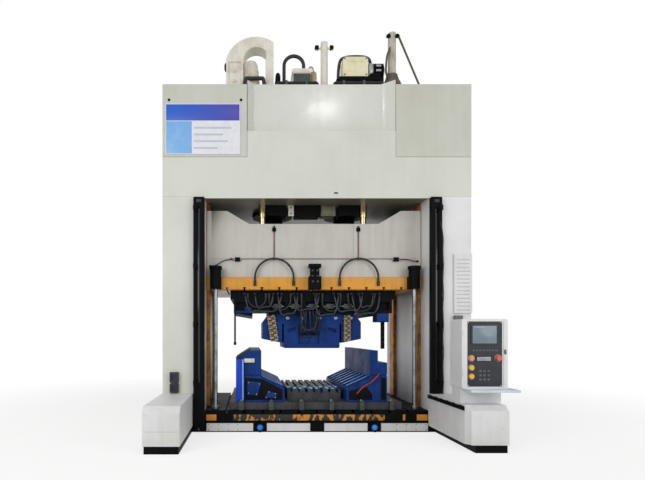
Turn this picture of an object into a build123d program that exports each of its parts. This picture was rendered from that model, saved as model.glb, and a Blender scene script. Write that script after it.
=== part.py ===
"""Straight-side hydraulic press with its die set, two floor pedestals and an operator console.

The frame stands on the floor at Z = 0, with the die space open from front (-Y) to rear (+Y).
All lengths are millimetres.
"""
import os

from build123d import *

# Frame: bed, uprights and crown
frame_width = 5100.0
frame_depth = 2400.0
upright_width = 690.0
bed_height = 165.0
daylight_height = 3715.0
crown_height = 1860.0
frame_corner = 20.0

# Tie rods that clamp bed, uprights and crown together
tie_rod_radius = 100.0
tie_rod_clearance = 10.0
tie_rod_inset = 720.0
tie_nut_radius = 170.0
tie_nut_height = 110.0
tie_nut_clearance = 12.0
tie_rod_lift = 20.0
tie_rod_tail = 60.0
tie_nut_sides = 6

# Sheet covers of the crown
cover_thickness = 60.0
fascia_height = 657.0
fascia_rise = 430.0
fascia_lip = 45.0
fascia_lip_drop = 26.0
cover_seam = 8.0
recess_left = 1150.0
recess_right = 1300.0
recess_depth = 150.0
recess_splay_left = 110.0
recess_splay_right = 210.0
centre_cover_rise = 75.0
centre_cover_thickness = 40.0

# Sign board on the left crown cover
sign_thickness = 18.0
sign_edge_gap = 52.0
sign_foot_gap = 40.0
sign_head_gap = 332.0
sign_side_gap = 116.0

# Main cylinders in the crown, their rams and the return rods
ram_radius = 195.0
ram_offset = 680.0
ram_head_gap = 315.0
ram_gap = 0.5
cylinder_wall = 110.0
cylinder_length = 1300.0
cylinder_cap = 60.0
cylinder_flange_width = 70.0
cylinder_flange_height = 60.0
cylinder_seat_gap = 0.3
return_rod_radius = 52.0
return_rod_side = 205.0
return_rod_inset = 150.0
return_rod_length = 1150.0
return_rod_gap = 4.0

# Valve block and stop blocks that hang under the crown
valve_block_width = 446.0
valve_block_depth = 300.0
valve_block_height = 185.0
valve_block_offset = -95.0
valve_block_back = 120.0
valve_block_corner = 15.0
stop_block_width = 350.0
stop_block_gap = 20.0

# Slide: ram block, its lower beam and its travel
slide_inset = 372.0
slide_top_gap = 135.0
slide_height = 1150.0
slide_notch_depth = 225.0
slide_notch_margin = 183.0
slide_notch_slope_share = 0.585
slide_seam = 12.0
slide_seam_depth = 10.0
slide_seam_offset = 683.0
slide_seam_lift = 320.0
slide_sheet_gap = 15.0
slide_sheet_thickness = 16.0
beam_height = 217.0
beam_overhang = 40.0
beam_edge = 12.0

# Guide rails on the uprights and liners on the slide
rail_thickness = 60.0
rail_width = 240.0
rail_edge_gap = 28.0
rail_foot = 20.0
liner_thickness = 30.0
liner_gap = 0.4
liner_end = 40.0

# Clamping slots in the bolster and in the slide beam
slot_pitch = 300.0
slot_end_gap = 350.0
slot_width = 28.0
slot_head_width = 50.0
slot_neck = 24.0
slot_head_height = 22.0

# Bolster on the bed
bolster_height = 190.0
bolster_side_gap = 20.0
bolster_front_gap = 10.0
bolster_edge = 15.0

# Bed front: covers, lamps and centre lock
bed_cover_thickness = 30.0
bed_cover_foot = 22.0
bed_cover_head = 18.0
bed_cover_end = 40.0
lamp_offset = 940.0
lamp_margin = 9.5
lamp_depth = 62.0
lamp_gap = 10.0
lamp_bay = 40.0
lamp_pocket = 14.0
lens_radius = 52.0
lens_crown = 22.0
lens_seat = 11.0
lock_width = 210.0
lock_depth = 46.0
lock_bore = 45.0
lock_bore_depth = 20.0

# Guide posts on the bolster and bushes on the slide beam
post_radius = 35.0
post_inset = 170.0
post_foot_radius = 62.0
post_foot_height = 45.0
post_top_drop = 108.0
bush_radius = 95.0
bush_height = 390.0
bush_gap = 0.5
bush_collar = 14.0
bush_collar_height = 50.0

# Hydraulic manifold, pipes and hose loops on the slide front
manifold_width = 210.0
manifold_depth = 130.0
manifold_height = 430.0
manifold_step = 30.0
manifold_cap = 60.0
pipe_radius = 8.0
pipe_top_gap = 40.0
pipe_standoff = 16.0
pipe_clip = 34.0
line_radius = 5.0
line_end_gap = 320.0
hose_radius = 17.0
hose_loop_radius = 332.0
hose_leg = 55.0
hose_left = -688.0
hose_right = 766.0
ferrule_radius = 25.0
ferrule_length = 80.0
ferrule_drop = 150.0

# Hoses that hang over the upper die: place, bend and leg as shares of the upper shoe's half width
die_hose_shares = (
    (-0.68, 0.110, 0.00),
    (-0.40, 0.130, 0.02),
    (-0.05, 0.090, 0.30),
    (0.22, 0.110, 0.05),
    (0.58, 0.160, 0.00),
)
die_hose_lift = 20.0

# Upper die: shoe clamped to the slide beam, with an arm at each end, and the forming block under it
upper_shoe_side_gap = 410.0
upper_shoe_inset = 128.0
upper_shoe_height = 148.0
upper_arm_margin = 60.0
upper_arm_width = 330.0
upper_arm_drop = 300.0
upper_arm_rise = 55.0
upper_web_drop = 190.0
upper_core_drop = 250.0
shoe_rib = 50.0
shoe_pocket_depth = 70.0
shoe_pocket_count = 5
hang_block_gap = 55.0
hang_block_depth = 250.0
hang_block_drop = 102.0
hang_bar_gap = 25.0
hang_bar_width = 56.0
hang_bar_drop = 576.0
hang_rod_radius = 16.0
hang_rod_margin = 18.0
hang_rod_drop = 506.0
hang_knob_radius = 24.0
hang_knob_height = 50.0
upper_block_inset = 278.0
block_height = 615.0
block_slot = 30.0
block_slot_drop = 180.0
block_pocket_shares = (-0.48, 0.27)
block_pocket_depth = 45.0
block_pocket_lift = 70.0
block_window_share = 0.72
block_window_width_share = 0.30
block_window_height = 62.0
block_window_depth = 55.0
block_window_lift = 325.0
block_window_tilt = 14.0
lobe_gap = 180.0
lobe_width = 350.0
lobe_inner_drop = 521.0
lobe_outer_drop = 451.0
lobe_shoulder = 110.0
lobe_shoulder_drop = 150.0
die_edge = 18.0

# Lower die: shoe with its nest on the bolster, and a tower with a ribbed ramp at each end
lower_shoe_side_gap = 420.0
lower_shoe_front_gap = 90.0
lower_shoe_height = 120.0
nest_gap = 60.0
nest_inset = 260.0
nest_height = 190.0
nest_slot_count = 7
nest_slot_share = 0.35
nest_slot_depth = 60.0
tower_clear = 35.0
tower_margin = 100.0
tower_inset = 60.0
tower_height = 865.0
tower_toe_gap = 20.0
tower_toe_height = 225.0
tower_ramp_height = 405.0
tower_shelf = 205.0
tower_shoulder_drop = 140.0
tower_neck = 135.0
tower_step_drop = 205.0
tower_setback = 135.0
tower_seam = 14.0
tower_seam_depth = 20.0
tower_seam_lift = 440.0
cheek_width = 130.0
cheek_depth = 50.0
ramp_rib_count = 8
ramp_rib_share = 0.4
ramp_rib_height = 26.0

# Light-curtain posts beside the opening
curtain_width = 180.0
curtain_depth = 95.0
curtain_inner_gap = 10.0
curtain_slot_width = 46.0
curtain_slot_depth = 30.0
curtain_slot_end = 180.0
curtain_bracket_width = 60.0
curtain_bracket_height = 90.0
curtain_bracket_depth = 40.0
curtain_bracket_count = 4
curtain_floor_gap = 22.0

# Floor pedestals
pedestal_height = 640.0
plinth_height = 107.0
plinth_inset = 18.0
pedestal_bevel = 90.0
pedestal_seam = 8.0
pedestal_seam_lift = 298.0
left_pedestal_gap = 15.0
left_pedestal_reach = 1464.0
right_pedestal_lap = 25.0
right_pedestal_side_gap = 150.0
right_pedestal_reach = 1395.0
right_corner_bevel = 95.0

# Sockets on the left upright
socket_width = 143.0
socket_depth = 70.0
socket_heights = (150.0, 172.0)
socket_gap = 14.0
socket_edge_gap = 130.0
socket_pocket_radius = 48.0
socket_pocket_depth = 22.0
socket_corner = 10.0

# Louvre panel, cable trunking and isolator on the right upright
louvre_width = 294.0
louvre_height = 970.0
louvre_lift = 1960.0
louvre_thickness = 36.0
louvre_edge_gap = 6.0
louvre_frame = 40.0
louvre_count = 14
louvre_slot_share = 0.42
louvre_slot_depth = 20.0
trunking_width = 126.0
trunking_depth = 70.0
trunking_foot_gap = 195.0
trunking_drop = 40.0
trunking_rib_count = 9
trunking_rib_depth = 12.0
trunking_rib_share = 0.35
isolator_width = 110.0
isolator_height = 170.0
isolator_depth = 46.0
isolator_lift = 880.0
isolator_handle_width = 40.0
isolator_handle_length = 118.0
isolator_handle_depth = 42.0
isolator_handle_corner = 10.0
isolator_stem_radius = 14.0
isolator_stem_gap = 0.4
isolator_stem_length = 24.0
isolator_face_gap = 2.0

# Operator console on the right pedestal
console_side_gap = 5.0
console_width = 640.0
console_depth = 380.0
console_front_gap = 190.0
console_height = 972.0
console_corner = 28.0
neck_width = 580.0
neck_height = 212.0
neck_depth = 260.0
panel_margin = 78.0
panel_foot = 30.0
panel_head = 36.0
panel_thickness = 24.0
panel_pocket = 16.0
panel_slip = 1.0
screen_width = 381.0
screen_height = 292.0
screen_head = 36.0
screen_thickness = 20.0
screen_pocket = 12.0
screen_bezel = 22.0
screen_bezel_depth = 5.0
tray_width = 660.0
tray_depth = 300.0
tray_thickness = 14.0
tray_rim = 34.0
tray_drop = 20.0

# Push buttons and emergency stop on the console panel
button_radius = 33.0
button_cap = 20.0
button_travel_gap = 9.0
button_stem_radius = 14.0
button_stem_gap = 0.4
button_edge_gap = 57.0
button_lifts = (142.0, 262.0, 394.0)
button_edge = 5.0
stop_button_radius = 38.0
stop_button_cap = 26.0
stop_button_edge_gap = 52.0
stop_button_lift = 397.0

# Hydraulic equipment on top of the crown
deck_front_gap = 340.0
deck_depth = 260.0
arch_left = -1517.0
arch_box_width = 297.0
arch_post_width = 131.0
arch_span = 819.0
arch_box_height = 610.0
arch_height = 970.0
arch_post_height = 905.0
arch_inner_drop = 150.0
arch_rib = 40.0
arch_rib_depth = 30.0
mast_offset = 193.0
mast_radius = 62.0
mast_height = 970.0
mast_flange_radius = 120.0
mast_flange_height = 40.0
mast_pin_radius = 18.0
mast_pin_half = 118.0
mast_pin_drop = 96.0
mast_knob_radius = 32.0
mast_knob_length = 36.0
filter_left = -362.0
filter_width = 306.0
filter_height = 445.0
filter_lid = 60.0
filter_lid_overhang = 14.0
oil_hose_radius = 30.0
oil_hose_bend = 171.0
oil_hose_rise = 569.0
oil_hose_offset = -338.0
stand_left = 440.0
stand_jib_gap = 13.0
stand_height = 320.0
stand_leg_width = 90.0
stand_top = 60.0
valve_box_gap = 57.0
valve_box_width = 434.0
valve_box_height = 338.0
valve_box_bevel = 40.0
valve_box_groove = 10.0
valve_box_groove_lift = 250.0
motor_radius = 135.0
motor_length = 273.0
motor_core = 24.0
motor_fin_count = 7
motor_fin_share = 0.5
motor_foot_width = 150.0
motor_foot_height = 48.0
jib_offset = 1378.0
jib_radius = 68.0
jib_foot_radius = 165.0
jib_foot_height = 60.0
jib_flare_radius = 120.0
jib_flare_height = 420.0
jib_height = 1130.0
jib_pin_radius = 22.0
jib_pin_half = 100.0
jib_pin_drop = 40.0
stay_radius = 17.0
stay_run = 470.0
stay_foot_radius = 45.0
stay_foot_height = 40.0
stay_foot_sink = 20.0

cut_overrun = 5.0

# Places worked out from the sizes above
front = -frame_depth / 2
rear = frame_depth / 2
half_width = frame_width / 2
inner_half = half_width - upright_width
crown_bottom = bed_height + daylight_height
crown_top = crown_bottom + crown_height
bolster_top = bed_height + bolster_height
rail_face = inner_half - rail_thickness
slide_half = rail_face - liner_gap - liner_thickness
slide_front = front + slide_inset
slide_top = crown_bottom - slide_top_gap
slide_lift = slide_top - slide_height
return_rod_offset = ram_offset + return_rod_side
return_rod_y = slide_front + return_rod_inset
flange_radius = ram_radius + ram_gap + cylinder_wall + cylinder_flange_width
notch_floor = slide_top - slide_notch_depth
notch_half = return_rod_offset + return_rod_radius + slide_notch_margin
notch_top_half = notch_half + (slide_half - notch_half) * slide_notch_slope_share
beam_bottom = slide_lift - beam_height
beam_front = slide_front - beam_overhang
sheet_half = inner_half - slide_sheet_gap
sheet_back = slide_front + slide_sheet_thickness
post_offset = inner_half - post_inset
post_y = beam_front - bush_radius
bed_cover_height = bed_height - bed_cover_foot - bed_cover_head
lamp_lift = bed_height / 2
lamp_radius = lamp_lift - lamp_gap - lamp_margin
upper_shoe_half = inner_half - upper_shoe_side_gap
upper_shoe_low = beam_bottom - upper_shoe_height
upper_shoe_front = slide_front + upper_shoe_inset
upper_arm_outer = upper_shoe_half - upper_arm_margin
upper_arm_inner = upper_arm_outer - upper_arm_width
upper_arm_low = upper_shoe_low - upper_arm_drop
upper_core_low = upper_shoe_low - upper_core_drop
lobe_outer = upper_arm_inner - lobe_gap
lobe_inner = lobe_outer - lobe_width
upper_core_half = lobe_outer - lobe_shoulder
block_half = lobe_inner - block_slot
lower_shoe_half = inner_half - lower_shoe_side_gap
lower_shoe_front = front + bolster_front_gap + lower_shoe_front_gap
lower_shoe_top = bolster_top + lower_shoe_height
tower_inner = lobe_outer + tower_clear
left_tower_outer = lower_shoe_half - tower_margin
right_tower_outer = left_tower_outer - tower_setback
tower_toe = block_half + tower_toe_gap
tower_front = lower_shoe_front + tower_inset
nest_half = tower_toe - nest_gap
fascia_top = crown_bottom + fascia_height
ledge_top = fascia_top + fascia_rise
crown_front = front + cover_thickness
deck_front = front + deck_front_gap
deck_back = deck_front + deck_depth
deck_middle = (deck_front + deck_back) / 2
curtain_inner = inner_half - curtain_inner_gap
curtain_outer = curtain_inner + curtain_width
left_pedestal_inner = curtain_outer + left_pedestal_gap
right_pedestal_inner = inner_half - right_pedestal_lap
right_pedestal_outer = half_width - right_pedestal_side_gap
right_pedestal_front = front - right_pedestal_reach
console_left = right_pedestal_inner + console_side_gap
console_lift = pedestal_height + neck_height
console_front = right_pedestal_front + console_front_gap
console_top = console_lift + console_height
panel_front = console_front + panel_thickness - panel_pocket
panel_back = panel_front + panel_thickness


def span_box(x_span, y_span, z_span):
    """Box between three pairs of limits."""
    size = [high - low for low, high in (x_span, y_span, z_span)]
    middle = [(low + high) / 2 for low, high in (x_span, y_span, z_span)]
    return Pos(*middle) * Box(*size)


def upright_rod(x, y, z_low, z_high, radius):
    """Round bar along Z between two heights."""
    return Pos(x, y, (z_low + z_high) / 2) * Cylinder(radius, z_high - z_low)


def cross_rod(x_low, x_high, y, z, radius):
    """Round bar along X."""
    return Pos((x_low + x_high) / 2, y, z) * Rot(0, 90, 0) * Cylinder(radius, x_high - x_low)


def depth_rod(x, z, y_low, y_high, radius):
    """Round bar along Y."""
    return Pos(x, (y_low + y_high) / 2, z) * Rot(90, 0, 0) * Cylinder(radius, y_high - y_low)


def front_profile(points, y_low, y_high):
    """Closed outline in X and Z, drawn at y_low and extruded back to y_high."""
    plane = Plane(origin=(0, y_low, 0), x_dir=(1, 0, 0), z_dir=(0, -1, 0))
    outline = Polyline(*points, close=True)
    return extrude(plane * make_face(outline), amount=y_low - y_high)


def side_profile(points, x_low, x_high):
    """Closed outline in Y and Z, extruded along X from x_low to x_high."""
    plane = Plane(origin=(x_low, 0, 0), x_dir=(0, 1, 0), z_dir=(1, 0, 0))
    outline = Polyline(*points, close=True)
    return extrude(plane * make_face(outline), amount=x_high - x_low)


def mirrored(shape):
    """The same piece on the other side of the press."""
    return mirror(shape, about=Plane.YZ)


def softened(shape, axis, radius):
    """Shape with its edges along one axis rounded."""
    return fillet(shape.edges().filter_by(axis), radius)


def group(*shapes):
    """Separate solids kept together in one node."""
    solids = [solid for shape in shapes for solid in shape.solids()]
    return Compound(children=solids)


def save(name, shape):
    """Write one node."""
    export_step(shape, f"parts/{name}.step")


def tie_rod_places():
    """X and Y of the tie rods."""
    x = half_width - upright_width / 2
    y = rear - tie_rod_inset
    return [(sx * x, sy * y) for sx in (-1, 1) for sy in (-1, 1)]


def slot_places():
    """X of each clamping slot."""
    side_count = int((inner_half - slot_end_gap) / slot_pitch)
    return [slot_pitch * index for index in range(-side_count, side_count + 1)]


def clamping_slots(surface, direction, y_low, y_high):
    """T-slots cut into a level surface; direction is the sign of the way out."""
    slots = []
    y_span = (y_low - cut_overrun, y_high + cut_overrun)
    neck_end = surface - direction * slot_neck
    head_end = neck_end - direction * slot_head_height
    mouth = surface + direction * cut_overrun
    for x in slot_places():
        neck_span = sorted((mouth, neck_end))
        head_span = sorted((neck_end, head_end))
        slots.append(span_box((x - slot_width / 2, x + slot_width / 2), y_span, neck_span))
        slots.append(span_box((x - slot_head_width / 2, x + slot_head_width / 2), y_span, head_span))
    return slots


def make_bed():
    """Bed with nut pockets below and bores for the tie rods."""
    bed = span_box((-half_width, half_width), (front, rear), (0, bed_height))
    pocket_top = tie_rod_lift + tie_nut_height
    for x, y in tie_rod_places():
        bed -= upright_rod(x, y, -cut_overrun, bed_height + cut_overrun, tie_rod_radius + tie_rod_clearance)
        bed -= upright_rod(x, y, -cut_overrun, pocket_top, tie_nut_radius + tie_nut_clearance)
    pocket_y = front + lamp_pocket
    for side in (-1, 1):
        bed -= depth_rod(side * lamp_offset, lamp_lift, front - cut_overrun, pocket_y, lamp_radius + lamp_gap)
    save("bed", bed)


def make_uprights():
    """The two box columns between bed and crown."""
    body = span_box((inner_half, half_width), (front, rear), (bed_height, crown_bottom))
    body = softened(body, Axis.Z, frame_corner)
    for x, y in tie_rod_places():
        if x > 0:
            bore = tie_rod_radius + tie_rod_clearance
            body -= upright_rod(x, y, bed_height - cut_overrun, crown_bottom + cut_overrun, bore)
    save("right_upright", body)
    save("left_upright", mirrored(body))


def make_crown():
    """Upper beam with bores for the cylinders, the return rods and the tie rods."""
    crown = span_box((-half_width, half_width), (crown_front, rear), (crown_bottom, crown_top))
    for x, y in tie_rod_places():
        bore = tie_rod_radius + tie_rod_clearance
        crown -= upright_rod(x, y, crown_bottom - cut_overrun, crown_top + cut_overrun, bore)
    seat = ram_radius + ram_gap + cylinder_wall + cylinder_seat_gap
    rod_bore = return_rod_radius + return_rod_gap
    seat_top = crown_bottom + cylinder_length + cylinder_seat_gap
    rod_top = crown_bottom + return_rod_length
    for side in (-1, 1):
        crown -= upright_rod(side * ram_offset, 0, crown_bottom - cut_overrun, seat_top, seat)
        place = side * return_rod_offset
        crown -= upright_rod(place, return_rod_y, crown_bottom - cut_overrun, rod_top, rod_bore)
    recess_back = front + recess_depth + centre_cover_thickness
    recess = span_box(
        (-recess_left, recess_right),
        (crown_front - cut_overrun, recess_back),
        (ledge_top, crown_top + cut_overrun),
    )
    save("crown", crown - recess)


def make_tie_rods():
    """Four tie rods, each with its two nuts."""
    rods = []
    for x, y in tie_rod_places():
        rod_end = crown_top + tie_nut_height + tie_rod_tail
        rod = upright_rod(x, y, tie_rod_lift, rod_end, tie_rod_radius)
        for low in (tie_rod_lift, crown_top):
            hexagon = RegularPolygon(tie_nut_radius, tie_nut_sides)
            rod += Pos(x, y, low) * extrude(hexagon, amount=tie_nut_height)
        rods.append(rod)
    save("tie_rods", group(*rods))


def make_crown_covers():
    """Fascia over the opening, two upper side covers and the recessed centre cover."""
    fascia = front_profile(
        [
            (-half_width, crown_bottom),
            (half_width, crown_bottom),
            (half_width, fascia_top),
            (recess_right, fascia_top),
            (recess_right, ledge_top),
            (-recess_left, ledge_top),
            (-recess_left, fascia_top),
            (-half_width, fascia_top),
        ],
        front,
        crown_front,
    )
    lip = span_box(
        (-inner_half, inner_half),
        (front, front + fascia_lip),
        (crown_bottom - fascia_lip_drop, crown_bottom),
    )
    save("crown_fascia", fascia + lip)
    seam = cover_seam / 2
    left = span_box(
        (-half_width, -recess_left - seam),
        (front, crown_front),
        (fascia_top + seam, crown_top),
    )
    right = span_box(
        (recess_right + seam, half_width),
        (front, crown_front),
        (fascia_top + seam, crown_top),
    )
    save("left_crown_cover", left)
    save("right_crown_cover", right)
    back = front + recess_depth
    plan = [
        (-recess_left + seam, front),
        (-recess_left + recess_splay_left, back),
        (recess_right - recess_splay_right, back),
        (recess_right - seam, front),
        (recess_right - seam, back + centre_cover_thickness),
        (-recess_left + seam, back + centre_cover_thickness),
    ]
    outline = Polyline(*plan, close=True)
    rise = crown_top + centre_cover_rise - ledge_top
    cover = Pos(0, 0, ledge_top) * extrude(make_face(outline), amount=rise)
    save("centre_crown_cover", cover)


def make_sign_board():
    """Blank board on the left crown cover."""
    x_low = -half_width + sign_edge_gap
    z_low = fascia_top + sign_foot_gap
    x_span = (x_low, -recess_left - sign_side_gap)
    board = span_box(x_span, (front - sign_thickness, front), (z_low, crown_top - sign_head_gap))
    save("sign_board", board)


def make_cylinders():
    """Main cylinders, each a capped barrel with a flange under the crown."""
    bore = ram_radius + ram_gap
    barrel = bore + cylinder_wall
    top = crown_bottom + cylinder_length
    flange_low = crown_bottom - cylinder_flange_height
    body = upright_rod(ram_offset, 0, flange_low, top, barrel)
    body += upright_rod(ram_offset, 0, flange_low, crown_bottom, flange_radius)
    body -= upright_rod(ram_offset, 0, flange_low - cut_overrun, top - cylinder_cap, bore)
    save("right_cylinder", body)
    save("left_cylinder", mirrored(body))


def make_rams():
    """Rams and return rods that stand on the slide."""
    ram_top = crown_bottom + cylinder_length - cylinder_cap - ram_head_gap
    ram = upright_rod(ram_offset, 0, notch_floor, ram_top, ram_radius)
    save("right_ram", ram)
    save("left_ram", mirrored(ram))
    rod = upright_rod(
        return_rod_offset,
        return_rod_y,
        notch_floor,
        notch_floor + return_rod_length,
        return_rod_radius,
    )
    save("return_rods", group(rod, mirrored(rod)))


def make_valve_block():
    """Valve block under the crown, with a stop block on either side of it."""
    y_low = slide_front + valve_block_back
    z_span = (crown_bottom - valve_block_height, crown_bottom)
    block = span_box(
        (valve_block_offset - valve_block_width / 2, valve_block_offset + valve_block_width / 2),
        (y_low, y_low + valve_block_depth),
        z_span,
    )
    block = softened(block, Axis.Y, valve_block_corner)
    stop_outer = return_rod_offset - return_rod_radius - stop_block_gap
    stop_x = (stop_outer - stop_block_width, stop_outer)
    stop = span_box(stop_x, (y_low, -flange_radius - stop_block_gap), z_span)
    save("valve_block", group(block, stop, mirrored(stop)))


def make_slide():
    """Slide block with the notch at its top, front seams and a sheet that covers the rail on each side."""
    block = front_profile(
        [
            (-slide_half, slide_lift),
            (slide_half, slide_lift),
            (slide_half, slide_top),
            (notch_top_half, slide_top),
            (notch_half, notch_floor),
            (-notch_half, notch_floor),
            (-notch_top_half, slide_top),
            (-slide_half, slide_top),
        ],
        slide_front,
        -slide_front,
    )
    seam_y = (slide_front - cut_overrun, slide_front + slide_seam_depth)
    seam_z = slide_lift + slide_seam_lift
    for side in (-1, 1):
        middle = side * slide_seam_offset
        block -= span_box(
            (middle - slide_seam / 2, middle + slide_seam / 2),
            seam_y,
            (seam_z, slide_top + cut_overrun),
        )
    block -= span_box(
        (-slide_half - cut_overrun, slide_half + cut_overrun),
        seam_y,
        (seam_z - slide_seam / 2, seam_z + slide_seam / 2),
    )
    sheet = span_box((slide_half, sheet_half), (slide_front, sheet_back), (slide_lift, slide_top))
    save("slide_block", group(block, sheet, mirrored(sheet)))


def make_slide_beam():
    """Lower beam of the slide with clamping slots underneath and an end plate in front of each rail."""
    beam = span_box((-slide_half, slide_half), (beam_front, -slide_front), (beam_bottom, slide_lift))
    beam = chamfer(beam.edges().group_by(Axis.Y)[0].filter_by(Axis.X), beam_edge)
    for slot in clamping_slots(beam_bottom, -1, beam_front, -slide_front):
        beam -= slot
    end = span_box((slide_half, sheet_half), (beam_front, sheet_back), (beam_bottom, slide_lift))
    save("slide_beam", group(beam, end, mirrored(end)))


def rail_spans():
    """Y limits of the front and rear rails."""
    low = slide_front + rail_edge_gap
    return [(low, low + rail_width), (-low - rail_width, -low)]


def make_guides():
    """Rails on the uprights and liners on the slide."""
    rails = []
    liners = []
    for y_span in rail_spans():
        rail = span_box((rail_face, inner_half), y_span, (bolster_top + rail_foot, crown_bottom - rail_foot))
        liner_z = (slide_lift + liner_end, slide_top - liner_end)
        liner = span_box((slide_half, slide_half + liner_thickness), y_span, liner_z)
        rails += [rail, mirrored(rail)]
        liners += [liner, mirrored(liner)]
    save("guide_rails", group(*rails))
    save("slide_liners", group(*liners))


def make_bolster():
    """Bolster plate with clamping slots on top."""
    half = inner_half - bolster_side_gap
    low = front + bolster_front_gap
    plate = span_box((-half, half), (low, -low), (bed_height, bolster_top))
    plate = chamfer(plate.edges().group_by(Axis.Z)[-1].filter_by(Axis.X), bolster_edge)
    for slot in clamping_slots(bolster_top, 1, low, -low):
        plate -= slot
    save("bolster", plate)


def make_bed_front():
    """Sheet covers on the bed front, with two lamps and the bolster lock between them."""
    y_span = (front - bed_cover_thickness, front)
    z_span = (bed_cover_foot, bed_cover_foot + bed_cover_height)
    outer = inner_half - bed_cover_end
    lamp_edge = lamp_radius + lamp_gap + lamp_bay
    covers = []
    for low, high in (
        (lock_width / 2 + lamp_gap, lamp_offset - lamp_edge),
        (lamp_offset + lamp_edge, outer),
    ):
        cover = span_box((low, high), y_span, z_span)
        covers += [cover, mirrored(cover)]
    save("bed_front_covers", group(*covers))
    back = front + lamp_pocket
    lens_back = back - lamp_depth + lens_seat
    housing = depth_rod(lamp_offset, lamp_lift, back - lamp_depth, back, lamp_radius)
    housing -= depth_rod(lamp_offset, lamp_lift, back - lamp_depth - cut_overrun, lens_back, lens_radius)
    save("lamp_housings", group(housing, mirrored(housing)))
    dome_radius = (lens_radius ** 2 + lens_crown ** 2) / (2 * lens_crown)
    dome = Pos(lamp_offset, lens_back - lens_crown + dome_radius, lamp_lift) * Sphere(dome_radius)
    lens_front = lens_back - lens_crown
    lens = dome & depth_rod(lamp_offset, lamp_lift, lens_front - cut_overrun, lens_back, lens_radius)
    save("lamp_lenses", group(lens, mirrored(lens)))
    lock = span_box((-lock_width / 2, lock_width / 2), (front - lock_depth, front), z_span)
    lock_z = bed_cover_foot + bed_cover_height / 2
    lock_face = front - lock_depth
    lock -= depth_rod(0, lock_z, lock_face - cut_overrun, lock_face + lock_bore_depth, lock_bore)
    save("bolster_lock", lock)


def make_guide_posts():
    """Posts on the bolster and the bushes on the beam that run along them."""
    y = post_y
    post_top = beam_bottom + bush_height - post_top_drop
    post = upright_rod(post_offset, y, bolster_top, post_top, post_radius)
    post += upright_rod(post_offset, y, bolster_top, bolster_top + post_foot_height, post_foot_radius)
    save("guide_posts", group(post, mirrored(post)))
    bush = upright_rod(post_offset, y, beam_bottom, beam_bottom + bush_height, bush_radius)
    bush += span_box(
        (post_offset - bush_radius, post_offset + bush_radius),
        (y, beam_front),
        (beam_bottom, slide_lift),
    )
    collar_low = beam_bottom + bush_height - bush_collar_height
    bore_top = beam_bottom + bush_height + cut_overrun
    bush += upright_rod(post_offset, y, collar_low, beam_bottom + bush_height, bush_radius + bush_collar)
    bush -= upright_rod(post_offset, y, beam_bottom - cut_overrun, bore_top, post_radius + bush_gap)
    save("guide_bushes", group(bush, mirrored(bush)))


def make_slide_piping():
    """Manifold, rising pipes with a cross line, hose loops on the beam and hoses over the upper die."""
    low = beam_bottom
    high = beam_bottom + manifold_height
    half = manifold_width / 2
    manifold = span_box((-half, half), (beam_front - manifold_depth, beam_front), (low, slide_lift))
    manifold += span_box(
        (-half + manifold_step, half - manifold_step),
        (beam_front - manifold_depth + manifold_step, beam_front),
        (slide_lift, high - manifold_cap),
    )
    y_span = (beam_front - manifold_depth, beam_front)
    manifold += span_box((-half, half), y_span, (high - manifold_cap, high))
    save("slide_manifold", manifold)
    line_z = slide_lift + slide_seam_lift
    pipe_y = slide_front - pipe_standoff
    pipes = []
    for x in (hose_left, hose_right):
        pipe = upright_rod(x, pipe_y, line_z, notch_floor - pipe_top_gap, pipe_radius)
        clip_high = notch_floor - pipe_top_gap
        pipe += span_box(
            (x - pipe_clip / 2, x + pipe_clip / 2),
            (pipe_y - pipe_radius, slide_front),
            (clip_high - pipe_clip, clip_high),
        )
        pipe += span_box(
            (x - pipe_clip / 2, x + pipe_clip / 2),
            (pipe_y - pipe_radius, slide_front),
            (line_z - pipe_clip / 2, line_z + pipe_clip / 2),
        )
        pipes.append(pipe)
    line_half = slide_half - line_end_gap
    line = cross_rod(-line_half, line_half, pipe_y, line_z, line_radius)
    for pipe in pipes:
        line += pipe
    for side in (-1, 1):
        line += span_box(
            sorted((side * line_half, side * (line_half - pipe_clip))),
            (pipe_y - pipe_radius, slide_front),
            (line_z - pipe_clip / 2, line_z + pipe_clip / 2),
        )
    save("slide_pipes", line)
    loops = []
    hose_y = beam_front - ferrule_radius
    foot = slide_lift - ferrule_drop
    leg_top = foot + ferrule_length + hose_leg
    for x in (hose_left, hose_right):
        loop = hose_arch(x, hose_y, (foot, leg_top), hose_loop_radius, leg_top + hose_loop_radius)
        for end_x in (x - hose_loop_radius, x + hose_loop_radius):
            loop += upright_rod(end_x, hose_y, foot, foot + ferrule_length, ferrule_radius)
        loops.append(loop)
    die_y = upper_shoe_front - ferrule_radius
    mouth = upper_shoe_low + die_hose_lift
    for place_share, bend_share, leg_share in die_hose_shares:
        x = place_share * upper_shoe_half
        bend = bend_share * upper_shoe_half
        leg_low = mouth - leg_share * upper_shoe_half
        ferrule_top = mouth + ferrule_length
        loop = hose_arch(x, die_y, (ferrule_top, leg_low), bend, leg_low - bend)
        for end_x in (x - bend, x + bend):
            loop += upright_rod(end_x, die_y, mouth, ferrule_top, ferrule_radius)
        loops.append(loop)
    save("hose_loops", group(*loops))


def hose_arch(x, y, leg, bend, peak):
    """Hose with two legs, from the first to the second height of leg, and a half circle that reaches peak."""
    start, turn = leg
    left_x = x - bend
    right_x = x + bend
    rise = Line((left_x, y, start), (left_x, y, turn))
    arc = ThreePointArc((left_x, y, turn), (x, y, peak), (right_x, y, turn))
    fall = Line((right_x, y, turn), (right_x, y, start))
    section = Plane(origin=(left_x, y, start), z_dir=(0, 0, turn - start)) * Circle(hose_radius)
    return sweep(section, path=rise + arc + fall)


def both_sides(half):
    """Outline from its right half, drawn upwards or downwards from the middle."""
    return half + [(-x, z) for x, z in reversed(half)]


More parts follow.
